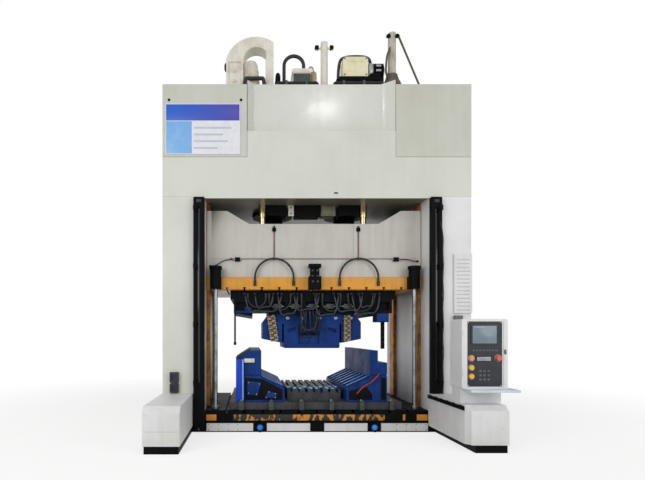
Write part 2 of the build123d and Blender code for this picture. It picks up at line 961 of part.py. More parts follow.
def make_upper_die():
    """Upper die: clamped shoe with pocketed arms and hanging stops, and the forming block under it."""
    web_low = upper_shoe_low - upper_web_drop
    arm_corner = upper_arm_low + upper_arm_rise
    shoe = front_profile(
        both_sides(
            [
                (upper_core_half, upper_core_low),
                (upper_core_half, web_low),
                (upper_arm_inner, web_low),
                (upper_arm_inner, upper_arm_low),
                (upper_arm_outer, arm_corner),
                (upper_arm_outer, upper_shoe_low),
                (upper_shoe_half, upper_shoe_low),
                (upper_shoe_half, beam_bottom),
            ]
        ),
        upper_shoe_front,
        -upper_shoe_front,
    )
    pocket_y = (upper_shoe_front - cut_overrun, upper_shoe_front + shoe_pocket_depth)
    pocket_top = upper_shoe_low - shoe_rib
    pitch = 2 * upper_core_half / shoe_pocket_count
    for index in range(shoe_pocket_count):
        low = -upper_core_half + index * pitch
        x_span = (low + shoe_rib / 2, low + pitch - shoe_rib / 2)
        shoe -= span_box(x_span, pocket_y, (upper_core_low + shoe_rib, pocket_top))
    for side in (-1, 1):
        x_span = sorted((side * (upper_arm_inner + shoe_rib), side * (upper_arm_outer - shoe_rib)))
        shoe -= span_box(x_span, pocket_y, (arm_corner + shoe_rib, pocket_top))
    hang_y = upper_shoe_front + hang_block_depth / 2
    shoe += span_box(
        (upper_arm_inner + hang_block_gap, upper_arm_outer - hang_block_gap),
        (upper_shoe_front, upper_shoe_front + hang_block_depth),
        (upper_arm_low - hang_block_drop, arm_corner),
    )
    bar_x = right_tower_outer + hang_bar_gap
    shoe += span_box(
        (bar_x, bar_x + hang_bar_width),
        (hang_y - hang_bar_width / 2, hang_y + hang_bar_width / 2),
        (upper_arm_low - hang_bar_drop, arm_corner),
    )
    rod_x = -upper_arm_outer + hang_rod_margin
    rod_low = upper_arm_low - hang_rod_drop
    shoe += upright_rod(rod_x, hang_y, rod_low, arm_corner + shoe_rib / 2, hang_rod_radius)
    shoe += upright_rod(rod_x, hang_y, rod_low, rod_low + hang_knob_height, hang_knob_radius)
    save("upper_die_shoe", shoe)
    block_low = upper_core_low - block_height
    slot_top = upper_core_low - block_slot_drop
    face = slide_front + upper_block_inset
    block = front_profile(
        both_sides(
            [
                (block_half, block_low),
                (block_half, slot_top),
                (lobe_inner, slot_top),
                (lobe_inner, upper_core_low - lobe_inner_drop),
                (lobe_outer, upper_core_low - lobe_outer_drop),
                (lobe_outer, upper_core_low - lobe_shoulder_drop),
                (upper_core_half, upper_core_low),
            ]
        ),
        face,
        -face,
    )
    block = chamfer(block.edges().group_by(Axis.Z)[0], die_edge)
    block -= span_box(
        [share * block_half for share in block_pocket_shares],
        (face - cut_overrun, face + block_pocket_depth),
        (block_low + block_pocket_lift, slot_top),
    )
    window_width = block_window_width_share * block_half
    for side in (-1, 1):
        place = Pos(side * block_window_share * block_half, face, block_low + block_window_lift)
        block -= place * Rot(0, side * block_window_tilt, 0) * Box(
            window_width, 2 * block_window_depth, block_window_height
        )
    save("upper_die_block", block)


def make_lower_die():
    """Lower die: shoe with a slotted nest on the bolster, and a tower with a ribbed ramp at each end."""
    shoe = span_box(
        (-lower_shoe_half, lower_shoe_half),
        (lower_shoe_front, -lower_shoe_front),
        (bolster_top, lower_shoe_top),
    )
    shoe = softened(shoe, Axis.Z, die_edge)
    nest_front = lower_shoe_front + nest_inset
    nest_top = lower_shoe_top + nest_height
    shoe += span_box((-nest_half, nest_half), (nest_front, -nest_front), (lower_shoe_top, nest_top))
    pitch = 2 * nest_half / nest_slot_count
    for index in range(nest_slot_count):
        middle = -nest_half + (index + 1 / 2) * pitch
        slot_half = pitch * nest_slot_share / 2
        shoe -= span_box(
            (middle - slot_half, middle + slot_half),
            (nest_front - cut_overrun, -nest_front + cut_overrun),
            (nest_top - nest_slot_depth, nest_top + cut_overrun),
        )
    save("lower_die_shoe", shoe)
    tower_top = lower_shoe_top + tower_height
    step_top = tower_top - tower_step_drop
    shoulder = tower_top - tower_shoulder_drop
    left = mirrored(
        tower_body(
            [
                (tower_inner + tower_shelf, tower_top),
                (left_tower_outer, shoulder),
                (left_tower_outer, lower_shoe_top),
            ]
        )
    )
    left += span_box(
        (-left_tower_outer, -left_tower_outer + cheek_width),
        (tower_front - cheek_depth, tower_front),
        (lower_shoe_top, shoulder),
    )
    right = tower_body(
        [
            (tower_inner + tower_neck, tower_top),
            (tower_inner + tower_neck, step_top),
            (right_tower_outer, step_top),
            (right_tower_outer, lower_shoe_top),
        ]
    )
    save("lower_die_saddle", group(left, right))


def tower_body(outer):
    """Right-hand tower: its ramp and inner wall, then the outline given for its outer side."""
    ramp_foot = (tower_toe, lower_shoe_top + tower_toe_height)
    ramp_head = (tower_inner, lower_shoe_top + tower_ramp_height)
    inner = [(tower_toe, lower_shoe_top), ramp_foot, ramp_head, (tower_inner, lower_shoe_top + tower_height)]
    tower = front_profile(inner + outer, tower_front, -tower_front)
    pitch = -2 * tower_front / ramp_rib_count
    rib = [ramp_foot, ramp_head] + [(x, z + ramp_rib_height) for x, z in (ramp_head, ramp_foot)]
    for index in range(ramp_rib_count):
        low = tower_front + (index + (1 - ramp_rib_share) / 2) * pitch
        tower += front_profile(rib, low, low + pitch * ramp_rib_share)
    seam_low = lower_shoe_top + tower_seam_lift
    tower -= span_box(
        (tower_inner - cut_overrun, left_tower_outer + cut_overrun),
        (tower_front - cut_overrun, tower_front + tower_seam_depth),
        (seam_low, seam_low + tower_seam),
    )
    return tower


def curtain_post(foot):
    """Right-hand post with a lens slot and the brackets along it, from its foot up to the crown."""
    x_low = curtain_inner
    x_high = curtain_outer
    face = front - curtain_depth
    top = crown_bottom - fascia_lip_drop
    post = span_box((x_low, x_high), (face, front), (foot, top))
    slot_x = (x_low + x_high) / 2
    slot_z = (pedestal_height + curtain_slot_end, top - curtain_slot_end)
    post -= span_box(
        (slot_x - curtain_slot_width / 2, slot_x + curtain_slot_width / 2),
        (face - cut_overrun, face + curtain_slot_depth),
        slot_z,
    )
    step = (slot_z[1] - slot_z[0]) / (curtain_bracket_count - 1)
    for index in range(curtain_bracket_count):
        low = slot_z[0] + index * step - curtain_bracket_height / 2
        post += span_box(
            (x_high - curtain_bracket_width, x_high),
            (face - curtain_bracket_depth, face),
            (low, low + curtain_bracket_height),
        )
    return post


def make_curtain_posts():
    """Right post on its pedestal, and left post down to the floor."""
    right = curtain_post(pedestal_height)
    left = mirrored(curtain_post(curtain_floor_gap))
    save("curtain_posts", group(left, right))


def pedestal_body(x_low, x_high, reach):
    """Sheet housing with a bevelled front top edge and a seam round its front."""
    low = front - reach
    body = side_profile(
        [
            (low, plinth_height),
            (front, plinth_height),
            (front, pedestal_height),
            (low + pedestal_bevel, pedestal_height),
            (low, pedestal_height - pedestal_bevel),
        ],
        x_low,
        x_high,
    )
    body -= span_box(
        (x_low - cut_overrun, x_high + cut_overrun),
        (low - cut_overrun, low + pedestal_seam),
        (pedestal_seam_lift, pedestal_seam_lift + pedestal_seam),
    )
    return body


def plinth_body(x_low, x_high, reach):
    """Dark base set in under a pedestal."""
    return span_box(
        (x_low + plinth_inset, x_high - plinth_inset),
        (front - reach + plinth_inset, front),
        (0, plinth_height),
    )


def make_pedestals():
    """Left and right floor pedestals on their plinths."""
    left = pedestal_body(-half_width, -left_pedestal_inner, left_pedestal_reach)
    save("left_pedestal", left)
    right = pedestal_body(right_pedestal_inner, right_pedestal_outer, right_pedestal_reach)
    corner = Polyline(
        (right_pedestal_inner, right_pedestal_front),
        (right_pedestal_inner + right_corner_bevel, right_pedestal_front),
        (right_pedestal_inner, right_pedestal_front + right_corner_bevel),
        close=True,
    )
    right -= extrude(make_face(corner), amount=pedestal_height + cut_overrun)
    save("right_pedestal", right)
    plinth_inner = right_pedestal_inner + right_corner_bevel
    left_plinth = plinth_body(-half_width, -left_pedestal_inner, left_pedestal_reach)
    right_plinth = plinth_body(plinth_inner, right_pedestal_outer, right_pedestal_reach)
    save("plinths", group(left_plinth, right_plinth))


def make_sockets():
    """Two outlet boxes on the left upright, one above the other."""
    x_low = -half_width + socket_edge_gap
    z_low = pedestal_height + socket_gap
    boxes = []
    for height in socket_heights:
        box = span_box((x_low, x_low + socket_width), (front - socket_depth, front), (z_low, z_low + height))
        box = softened(box, Axis.Y, socket_corner)
        face = front - socket_depth
        box -= depth_rod(
            x_low + socket_width / 2,
            z_low + height / 2,
            face - cut_overrun,
            face + socket_pocket_depth,
            socket_pocket_radius,
        )
        boxes.append(box)
        z_low += height + socket_gap
    save("socket_outlets", group(*boxes))


def make_louvre():
    """Louvred vent on the right upright."""
    x_high = half_width - louvre_edge_gap
    x_low = x_high - louvre_width
    face = front - louvre_thickness
    panel = span_box((x_low, x_high), (face, front), (louvre_lift, louvre_lift + louvre_height))
    pitch = (louvre_height - 2 * louvre_frame) / louvre_count
    for index in range(louvre_count):
        low = louvre_lift + louvre_frame + index * pitch
        lip = low + pitch * louvre_slot_share
        panel -= side_profile(
            [
                (face - cut_overrun, low),
                (face + louvre_slot_depth, low),
                (face - cut_overrun, lip),
            ],
            x_low + louvre_frame,
            x_high - louvre_frame,
        )
    save("louvre_panel", panel)


def make_trunking():
    """Ribbed cable trunking below the louvre panel."""
    x_low = half_width - louvre_edge_gap - louvre_width
    high = louvre_lift - trunking_drop
    low = isolator_lift + isolator_height / 2 + trunking_foot_gap
    face = front - trunking_depth
    trunk = span_box((x_low, x_low + trunking_width), (face, front), (low, high))
    pitch = (high - low) / trunking_rib_count
    for index in range(trunking_rib_count):
        groove = low + pitch * index
        trunk -= span_box(
            (x_low - cut_overrun, x_low + trunking_width + cut_overrun),
            (face - cut_overrun, face + trunking_rib_depth),
            (groove, groove + pitch * trunking_rib_share),
        )
    save("cable_trunking", trunk)


def make_isolator():
    """Rotary isolator with a bar handle on the right upright."""
    x = half_width - louvre_edge_gap - louvre_width + isolator_width / 2
    face = front - isolator_depth
    base = span_box(
        (x - isolator_width / 2, x + isolator_width / 2),
        (face, front),
        (isolator_lift - isolator_height / 2, isolator_lift + isolator_height / 2),
    )
    stem_back = face + isolator_stem_length
    stem_bore = isolator_stem_radius + isolator_stem_gap
    base -= depth_rod(x, isolator_lift, face - cut_overrun, stem_back, stem_bore)
    save("isolator_base", base)
    handle_back = face - isolator_face_gap
    handle = span_box(
        (x - isolator_handle_width / 2, x + isolator_handle_width / 2),
        (handle_back - isolator_handle_depth, handle_back),
        (isolator_lift - isolator_handle_length / 2, isolator_lift + isolator_handle_length / 2),
    )
    handle = softened(handle, Axis.Y, isolator_handle_corner)
    handle += depth_rod(x, isolator_lift, handle_back, stem_back - isolator_stem_gap, isolator_stem_radius)
    save("isolator_handle", handle)


def make_console():
    """Console cabinet on a neck, with its panel, screen and tray."""
    x_high = console_left + console_width
    back = console_front + console_depth
    cabinet = span_box((console_left, x_high), (console_front, back), (console_lift, console_top))
    cabinet = softened(cabinet, Axis.Y, console_corner)
    panel_x = (console_left + panel_margin, x_high - panel_margin)
    panel_z = (console_lift + panel_foot, console_top - panel_head)
    cabinet -= span_box(
        (panel_x[0] - panel_slip, panel_x[1] + panel_slip),
        (console_front - cut_overrun, panel_back),
        (panel_z[0] - panel_slip, panel_z[1] + panel_slip),
    )
    middle = (console_left + x_high) / 2
    neck = span_box(
        (middle - neck_width / 2, middle + neck_width / 2),
        (back - neck_depth, back),
        (pedestal_height, console_lift),
    )
    well = button_stem_radius + button_stem_gap
    for x, z in button_places():
        cabinet -= depth_rod(x, z, panel_back - cut_overrun, panel_back + panel_thickness, well)
    save("console_cabinet", cabinet + neck)
    panel = span_box(panel_x, (panel_front, panel_back), panel_z)
    for x, z in button_places():
        panel -= depth_rod(x, z, panel_front - cut_overrun, panel_back + cut_overrun, well)
    screen_x = (middle - screen_width / 2, middle + screen_width / 2)
    screen_high = panel_z[1] - screen_head
    screen_z = (screen_high - screen_height, screen_high)
    seat = panel_front + screen_pocket
    panel -= span_box(screen_x, (panel_front - cut_overrun, seat), screen_z)
    save("console_panel", panel)
    screen_face = seat - screen_thickness
    screen = span_box(screen_x, (screen_face, seat), screen_z)
    screen -= span_box(
        (screen_x[0] + screen_bezel, screen_x[1] - screen_bezel),
        (screen_face - cut_overrun, screen_face + screen_bezel_depth),
        (screen_z[0] + screen_bezel, screen_z[1] - screen_bezel),
    )
    save("console_screen", screen)


def make_tray():
    """Shelf with a raised rim that hangs on the console front."""
    middle = console_left + console_width / 2
    x_span = (middle - tray_width / 2, middle + tray_width / 2)
    y_span = (console_front - tray_depth, console_front)
    low = console_lift - tray_drop
    tray = span_box(x_span, y_span, (low, low + tray_rim))
    tray -= span_box(
        (x_span[0] + tray_thickness, x_span[1] - tray_thickness),
        (y_span[0] + tray_thickness, y_span[1] - tray_thickness),
        (low + tray_thickness, low + tray_rim + cut_overrun),
    )
    tray += span_box(
        (middle - neck_width / 2, middle + neck_width / 2),
        (console_front, console_front + console_depth - neck_depth),
        (low, console_lift),
    )
    save("console_tray", tray)


def button_places():
    """X and Z of the push buttons, then of the emergency stop."""
    left = console_left + panel_margin + button_edge_gap
    right = console_left + console_width - panel_margin - stop_button_edge_gap
    base = console_lift + panel_foot
    places = [(left, base + lift) for lift in button_lifts]
    return places + [(right, base + stop_button_lift)]


def button_body(x, z, radius, cap):
    """Push button: bevelled cap on a stem that runs in the panel."""
    back = panel_front - button_travel_gap
    body = depth_rod(x, z, back - cap, back, radius)
    body = chamfer(body.edges().group_by(Axis.Y)[0], button_edge)
    return body + depth_rod(x, z, back, panel_back, button_stem_radius)


def make_buttons():
    """Three push buttons and the emergency stop."""
    places = button_places()
    names = ("lower_button", "middle_button", "upper_button")
    for name, (x, z) in zip(names, places):
        save(name, button_body(x, z, button_radius, button_cap))
    stop_x, stop_z = places[-1]
    save("emergency_stop", button_body(stop_x, stop_z, stop_button_radius, stop_button_cap))


def make_arch():
    """Welded arch bracket on the crown: box, curved rib and post."""
    x0 = arch_left
    x1 = x0 + arch_box_width
    x3 = x0 + arch_span
    x2 = x3 - arch_post_width
    base = crown_top
    box_top = base + arch_box_height
    post_top = base + arch_post_height
    peak = base + arch_height
    outer_middle = ((x0 + x2) / 2, peak)
    inner_middle = ((x1 + x2) / 2, peak - arch_inner_drop)
    outline = [
        Line((x0, base), (x0, box_top)),
        ThreePointArc((x0, box_top), outer_middle, (x3, post_top)),
        Line((x3, post_top), (x3, base)),
        Line((x3, base), (x2, base)),
        Line((x2, base), (x2, post_top - arch_inner_drop)),
        ThreePointArc((x2, post_top - arch_inner_drop), inner_middle, (x1, box_top)),
        Line((x1, box_top), (x1, base)),
        Line((x1, base), (x0, base)),
    ]
    plane = Plane(origin=(0, deck_front, 0), x_dir=(1, 0, 0), z_dir=(0, -1, 0))
    wire = Wire(outline)
    body = extrude(plane * make_face(wire), amount=-deck_depth)
    pocket = span_box(
        (x0 + arch_rib, x1 - arch_rib),
        (deck_front - cut_overrun, deck_front + arch_rib_depth),
        (base + arch_rib, box_top - arch_rib),
    )
    save("arch_bracket", body - pocket)


def make_mast():
    """Round mast with a cross pin near its top."""
    y = deck_middle
    top = crown_top + mast_height
    mast = upright_rod(mast_offset, y, crown_top, top, mast_radius)
    mast += upright_rod(mast_offset, y, crown_top, crown_top + mast_flange_height, mast_flange_radius)
    pin_z = top - mast_pin_drop
    mast += cross_rod(mast_offset - mast_pin_half, mast_offset + mast_pin_half, y, pin_z, mast_pin_radius)
    for side in (-1, 1):
        knob_end = mast_offset + side * mast_pin_half
        knob = sorted((knob_end, knob_end + side * mast_knob_length))
        mast += cross_rod(knob[0], knob[1], y, pin_z, mast_knob_radius)
    save("lifting_mast", mast)


def make_filter():
    """Return filter housing and the oil hose that loops over to it."""
    x_high = filter_left + filter_width
    lid_low = crown_top + filter_height - filter_lid
    top = crown_top + filter_height
    housing = span_box((filter_left, x_high), (deck_front, deck_back), (crown_top, lid_low))
    housing += span_box(
        (filter_left - filter_lid_overhang, x_high + filter_lid_overhang),
        (deck_front - filter_lid_overhang, deck_back + filter_lid_overhang),
        (lid_low, top),
    )
    save("filter_housing", housing)
    rise_x = oil_hose_offset - oil_hose_bend
    fall_x = oil_hose_offset + oil_hose_bend
    bend_z = crown_top + oil_hose_rise
    rise = Line((rise_x, deck_middle, crown_top), (rise_x, deck_middle, bend_z))
    bend = ThreePointArc(
        (rise_x, deck_middle, bend_z),
        (oil_hose_offset, deck_middle, bend_z + oil_hose_bend),
        (fall_x, deck_middle, bend_z),
    )
    fall = Line((fall_x, deck_middle, bend_z), (fall_x, deck_middle, top))
    section = Plane(origin=(rise_x, deck_middle, crown_top), z_dir=(0, 0, 1)) * Circle(oil_hose_radius)
    save("oil_hose", sweep(section, path=rise + bend + fall))


def make_pump_set():
    """Stand, valve box and finned pump motor."""
    x_high = jib_offset - jib_foot_radius - stand_jib_gap
    top = crown_top + stand_height
    leg_top = top - stand_top
    stand = span_box((stand_left, x_high), (deck_front, deck_back), (leg_top, top))
    for leg in (stand_left, (stand_left + x_high - stand_leg_width) / 2, x_high - stand_leg_width):
        stand += span_box((leg, leg + stand_leg_width), (deck_front, deck_back), (crown_top, leg_top))
    save("pump_stand", stand)
    box_low = stand_left + valve_box_gap
    box_x = (box_low, box_low + valve_box_width)
    box_top = top + valve_box_height
    box = front_profile(
        [
            (box_x[0], top),
            (box_x[1], top),
            (box_x[1], box_top - valve_box_bevel),
            (box_x[1] - valve_box_bevel, box_top),
            (box_x[0] + valve_box_bevel, box_top),
            (box_x[0], box_top - valve_box_bevel),
        ],
        deck_front,
        deck_back,
    )
    groove_z = top + valve_box_groove_lift
    box -= span_box(
        (box_x[0] + valve_box_bevel, box_x[1] - valve_box_bevel),
        (deck_front - cut_overrun, deck_front + valve_box_groove),
        (groove_z, groove_z + valve_box_groove),
    )
    save("valve_box", box)
    motor_z = top + motor_radius
    start = box_x[1]
    motor = cross_rod(start, start + motor_length, deck_middle, motor_z, motor_radius - motor_core)
    pitch = motor_length / motor_fin_count
    for index in range(motor_fin_count):
        fin = start + pitch * (index + 1 - motor_fin_share)
        motor += cross_rod(fin, fin + pitch * motor_fin_share, deck_middle, motor_z, motor_radius)
    foot_middle = start + motor_length / 2
    motor += span_box(
        (foot_middle - motor_foot_width / 2, foot_middle + motor_foot_width / 2),
        (deck_middle - motor_radius, deck_middle + motor_radius),
        (top, top + motor_foot_height),
    )
    save("pump_motor", motor)


def make_jib():
    """Tapered jib post with its slanting stay."""
    y = deck_middle
    top = crown_top + jib_height
    flare = Pos(jib_offset, y, crown_top + jib_foot_height + jib_flare_height / 2) * Cone(
        jib_flare_radius, jib_radius, jib_flare_height
    )
    post = upright_rod(jib_offset, y, crown_top, crown_top + jib_foot_height, jib_foot_radius)
    post += flare
    post += upright_rod(jib_offset, y, crown_top + jib_foot_height + jib_flare_height, top, jib_radius)
    pin_z = top - jib_pin_drop
    post += cross_rod(jib_offset - jib_pin_half, jib_offset + jib_pin_half, y, pin_z, jib_pin_radius)
    save("jib_post", post)
    eye = jib_offset + jib_pin_half
    start = Vector(eye + stay_radius, y, pin_z)
    foot_top = crown_top + stay_foot_height
    finish = Vector(eye + stay_run, y, foot_top - stay_foot_sink)
    run = finish - start
    stay = Plane(origin=start, z_dir=run) * Circle(stay_radius)
    stay = extrude(stay, amount=run.length)
    stay += cross_rod(eye, eye + 2 * stay_radius, y, pin_z, jib_pin_radius)
    stay += upright_rod(finish.X, y, crown_top, foot_top, stay_foot_radius)
    save("jib_stay", stay)


def main():
    """Build every node."""
    os.makedirs("parts", exist_ok=True)
    make_bed()
    make_uprights()
    make_crown()
    make_tie_rods()
    make_crown_covers()
    make_sign_board()
    make_cylinders()
    make_rams()
    make_valve_block()
    make_slide()
    make_slide_beam()
    make_guides()
    make_bolster()
    make_bed_front()
    make_guide_posts()
    make_slide_piping()
    make_upper_die()
    make_lower_die()
    make_curtain_posts()
    make_pedestals()
    make_sockets()
    make_louvre()
    make_trunking()
    make_isolator()
    make_console()
    make_tray()
    make_buttons()
    make_arch()
    make_mast()
    make_filter()
    make_pump_set()
    make_jib()


main()
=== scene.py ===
"""Looks of a straight-side hydraulic press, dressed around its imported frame.

Lengths are metres in the frame's own axes; a name that ends in _mm holds millimetres.
"""
import logging
import math
from dataclasses import dataclass
from enum import Enum
from typing import Any, ClassVar, Sequence

import bmesh
import bpy
from bpy.types import Material, Node, NodeSocket as Socket, NodeTree as Tree, Object
from mathutils import Matrix, Vector


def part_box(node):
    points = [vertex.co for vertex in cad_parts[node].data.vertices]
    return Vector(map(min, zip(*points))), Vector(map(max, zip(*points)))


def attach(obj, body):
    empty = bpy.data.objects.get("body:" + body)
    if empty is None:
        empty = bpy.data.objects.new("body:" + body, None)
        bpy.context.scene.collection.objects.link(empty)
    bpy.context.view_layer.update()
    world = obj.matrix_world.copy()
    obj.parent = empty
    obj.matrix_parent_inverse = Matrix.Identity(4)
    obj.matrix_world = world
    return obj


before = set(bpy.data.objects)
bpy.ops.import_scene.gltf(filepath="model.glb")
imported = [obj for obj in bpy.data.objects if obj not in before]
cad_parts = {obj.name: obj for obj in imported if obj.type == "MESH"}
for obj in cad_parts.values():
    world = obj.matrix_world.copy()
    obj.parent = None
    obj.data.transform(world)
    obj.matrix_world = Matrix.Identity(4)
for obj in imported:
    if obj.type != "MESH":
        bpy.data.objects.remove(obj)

Pair = tuple[float, float]
Pairs = tuple[Pair, ...]
Triple = tuple[float, float, float]
Point = Sequence[float]
Quad = tuple[float, float, float, float]

LOG = logging.getLogger("press")
NODES: dict[str, Object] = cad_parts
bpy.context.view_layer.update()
MM = 0.001
PURE_WHITE = "#FFFFFF"


class Body(str, Enum):
    """Bodies that carry added pieces."""

    FRAME = "frame"
    SLIDE = "slide"


def linear(colour: str) -> Quad:
    """Turns an sRGB hex colour to linear light.

    Args:
        colour: Six hex digits after a hash sign.

    Returns:
        Red, green, blue and an alpha of one.
    """
    shares = [int(colour[place:place + 2], 16) / 255 for place in (1, 3, 5)]
    light = [share / 12.92 if share <= 0.04045 else ((share + 0.055) / 1.055) ** 2.4 for share in shares]
    return (light[0], light[1], light[2], 1.0)


def feed(tree: Tree, node: Node, inputs: dict[Any, Any]) -> None:
    """Sets the inputs of a node.

    Args:
        tree: Node tree that holds the node.
        node: The node.
        inputs: Input name or index to a value, or to the output socket that feeds it.
    """
    for name, value in inputs.items():
        if isinstance(value, Socket):
            tree.links.new(value, node.inputs[name])
        else:
            node.inputs[name].default_value = value


def add_node(tree: Tree, kind: str, inputs: dict[Any, Any] | None = None, **settings: Any) -> Node:
    """Adds one shader node with its settings and links.

    Args:
        tree: Node tree that takes the node.
        kind: Blender's name of the node type, without its ShaderNode prefix.
        inputs: Input name or index to a value, or to the output socket that feeds it.
        **settings: Properties of the node.

    Returns:
        The new node.
    """
    node = tree.nodes.new(f"ShaderNode{kind}")
    for name, value in settings.items():
        setattr(node, name, value)
    feed(tree, node, inputs or {})
    return node


def noise(tree: Tree, place: Socket, size_mm: float, detail: float, roughness: float = 0.5) -> Socket:
    """Noise whose grain has a real size.

    Args:
        tree: Node tree that takes the node.
        place: Where it is read, in metres.
        size_mm: Size of the grain.
        detail: Finer layers over the coarsest one.
        roughness: Strength of the finer layers.

    Returns:
        Its value.
    """
    inputs = {"Vector": place, "Scale": 1 / (size_mm * MM), "Detail": detail, "Roughness": roughness}
    return add_node(tree, "TexNoise", inputs).outputs["Fac"]


def ramp(
    tree: Tree,
    value: Socket,
    source: Pair = (0.0, 1.0),
    target: Pair = (0.0, 1.0),
    **settings: Any,
) -> Socket:
    """Carries a value from one range to another and stops at its ends.

    Args:
        tree: Node tree that takes the node.
        value: The value.
        source: Range that it comes from.
        target: Range that it goes to.
        **settings: Properties of the node.

    Returns:
        The new value.
    """
    ends = dict(zip(("From Min", "From Max", "To Min", "To Max"), source + target))
    return add_node(tree, "MapRange", {"Value": value, **ends}, **settings).outputs[0]


def reckon(tree: Tree, operation: str, first: Socket, second: Socket, clamp: bool = False) -> Socket:
    """Result of a sum on two values, kept between zero and one if clamp is set."""
    return add_node(tree, "Math", {0: first, 1: second}, operation=operation, use_clamp=clamp).outputs[0]


def mixed(tree: Tree, share: Socket, first: Any, second: Any) -> Socket:
    """Blend of two colours; each is a colour or the socket that gives one."""
    inputs = {"Factor": share, "A": first, "B": second}
    return add_node(tree, "Mix", inputs, data_type="RGBA").outputs["Result"]


def bumped(tree: Tree, height: Socket, strength: float, depth: float) -> Socket:
    """Normal of a surface with bumps of this depth in metres."""
    return add_node(tree, "Bump", {"Height": height, "Strength": strength, "Distance": depth}).outputs[0]


@dataclass(frozen=True)
class Finish:
    """What every surface finish has: a name, a shader and one material made from it.

    Attributes:
        name: Name of the real material and how its surface was made.
        slot: Material slot of the record that the finish belongs to.
    """

    made: ClassVar[dict[str, Material]] = {}
    name: str
    slot: str

    def material(self) -> Material:
        """The finish as a material, made once."""
        if self.name not in Finish.made:
            material = bpy.data.materials.new(self.name)
            material.use_nodes = True
            tree = material.node_tree
            tree.nodes.clear()
            shader = add_node(tree, "BsdfPrincipled")
            add_node(tree, "OutputMaterial", {"Surface": shader.outputs["BSDF"]})
            self.shade(tree, shader)
            Finish.made[self.name] = material
        return Finish.made[self.name]

    def shade(self, tree: Tree, shader: Node) -> None:
        """Sets the shader up; each kind of finish has its own way.

        Args:
            tree: The material's node tree.
            shader: Its principled shader.
        """
        raise NotImplementedError


@dataclass(frozen=True)
class Enamel(Finish):
    """Sprayed enamel on steel: even colour that dust has mottled, satin gloss and a faint orange peel.

    Attributes:
        colour: The paint.
        dusty: The paint where dust and oil mist have settled.
        roughness: Roughness of clean paint.
        patch_mm: Size of the dusty patches.
        streak: Share of the dust that runs down in streaks.
        peel_mm: Size of the orange peel, drawn about ten times coarser than it is so that it shows.
        peel: Strength of the orange peel.
        coat: Clear gloss over the paint.
        foot: Height in metres over which floor dirt fades out, or zero.
        underside_shade: Colour painted on faces that look down, as painted shade, or nothing.
        shine: Strength of the mirror-like reflection; half is that of clean gloss paint.
    """

    colour: str
    dusty: str
    roughness: float = 0.42
    patch_mm: float = 900.0
    streak: float = 0.5
    peel_mm: float = 22.0
    peel: float = 0.05
    coat: float = 0.0
    foot: float = 0.0
    underside_shade: str = ""
    shine: float = 0.5

    def shade(self, tree: Tree, shader: Node) -> None:
        """Dust in patches and streaks over the colour, and a fine bump."""
        place = add_node(tree, "TexCoord").outputs["Object"]
        patches = noise(tree, place, self.patch_mm, detail=5.0, roughness=0.62)
        stretched = add_node(tree, "Mapping", {"Vector": place, "Scale": (1.0, 1.0, 0.06)}).outputs[0]
        streaks = noise(tree, stretched, self.patch_mm / 9, detail=3.0)
        blended = add_node(tree, "Mix", {0: self.streak, 2: patches, 3: streaks}, data_type="FLOAT")
        dust = ramp(tree, blended.outputs[0], (0.44, 0.72))
        if self.foot > 0:
            height = add_node(tree, "SeparateXYZ", {"Vector": place}).outputs["Z"]
            low = ramp(tree, height, (self.foot, 0.0), (0.0, 0.8))
            dust = reckon(tree, "ADD", dust, reckon(tree, "MULTIPLY", low, patches), clamp=True)
        tint = mixed(tree, dust, linear(self.colour), linear(self.dusty))
        # Faces that look down are painted darker: painted shade.
        if self.underside_shade:
            normal = add_node(tree, "NewGeometry").outputs["Normal"]
            up = add_node(tree, "SeparateXYZ", {"Vector": normal}).outputs["Z"]
            tint = mixed(tree, ramp(tree, up, (-0.5, -0.8)), tint, linear(self.underside_shade))
        gloss = ramp(tree, dust, target=(self.roughness, min(1.0, self.roughness + 0.18)))
        grain = noise(tree, place, self.peel_mm, detail=2.0)
        inputs = {
            "Base Color": tint,
            "Roughness": gloss,
            "Normal": bumped(tree, grain, self.peel, self.peel_mm * MM / 4),
            "IOR": 1.5,
            "Specular IOR Level": self.shine,
            "Coat Weight": self.coat,
            "Coat Roughness": 0.12,
        }
        feed(tree, shader, inputs)


@dataclass(frozen=True)
class Metal(Finish):
    """Bare metal: a tool or wear grain along one axis, brighter and darker bands, and an oily haze.

    Attributes:
        colour: Clean metal.
        stained: Metal under old oil.
        roughness: Roughness of clean metal.
        grain_mm: Width of one tool mark.
        along: Stretch of the tool marks along X, Y and Z; small numbers make long marks.
        stain_mm: Size of the stains.
    """

    colour: str
    stained: str
    roughness: float = 0.3
    grain_mm: float = 6.0
    along: Triple = (1.0, 1.0, 0.04)
    stain_mm: float = 180.0

    def shade(self, tree: Tree, shader: Node) -> None:
        """Stretched noise for the tool marks and broad noise for the stains."""
        place = add_node(tree, "TexCoord").outputs["Object"]
        stretched = add_node(tree, "Mapping", {"Vector": place, "Scale": self.along}).outputs[0]
        marks = noise(tree, stretched, self.grain_mm, detail=3.0)
        stain = ramp(tree, noise(tree, place, self.stain_mm, detail=6.0, roughness=0.65), (0.42, 0.68))
        gloss = ramp(tree, marks, (0.3, 0.7), (self.roughness * 0.8, min(1.0, self.roughness * 1.35)))
        inputs = {
            "Base Color": mixed(tree, stain, linear(self.colour), linear(self.stained)),
            "Roughness": gloss,
            "Normal": bumped(tree, marks, 0.06, self.grain_mm * MM / 8),
            "Metallic": 1.0,
        }
        feed(tree, shader, inputs)


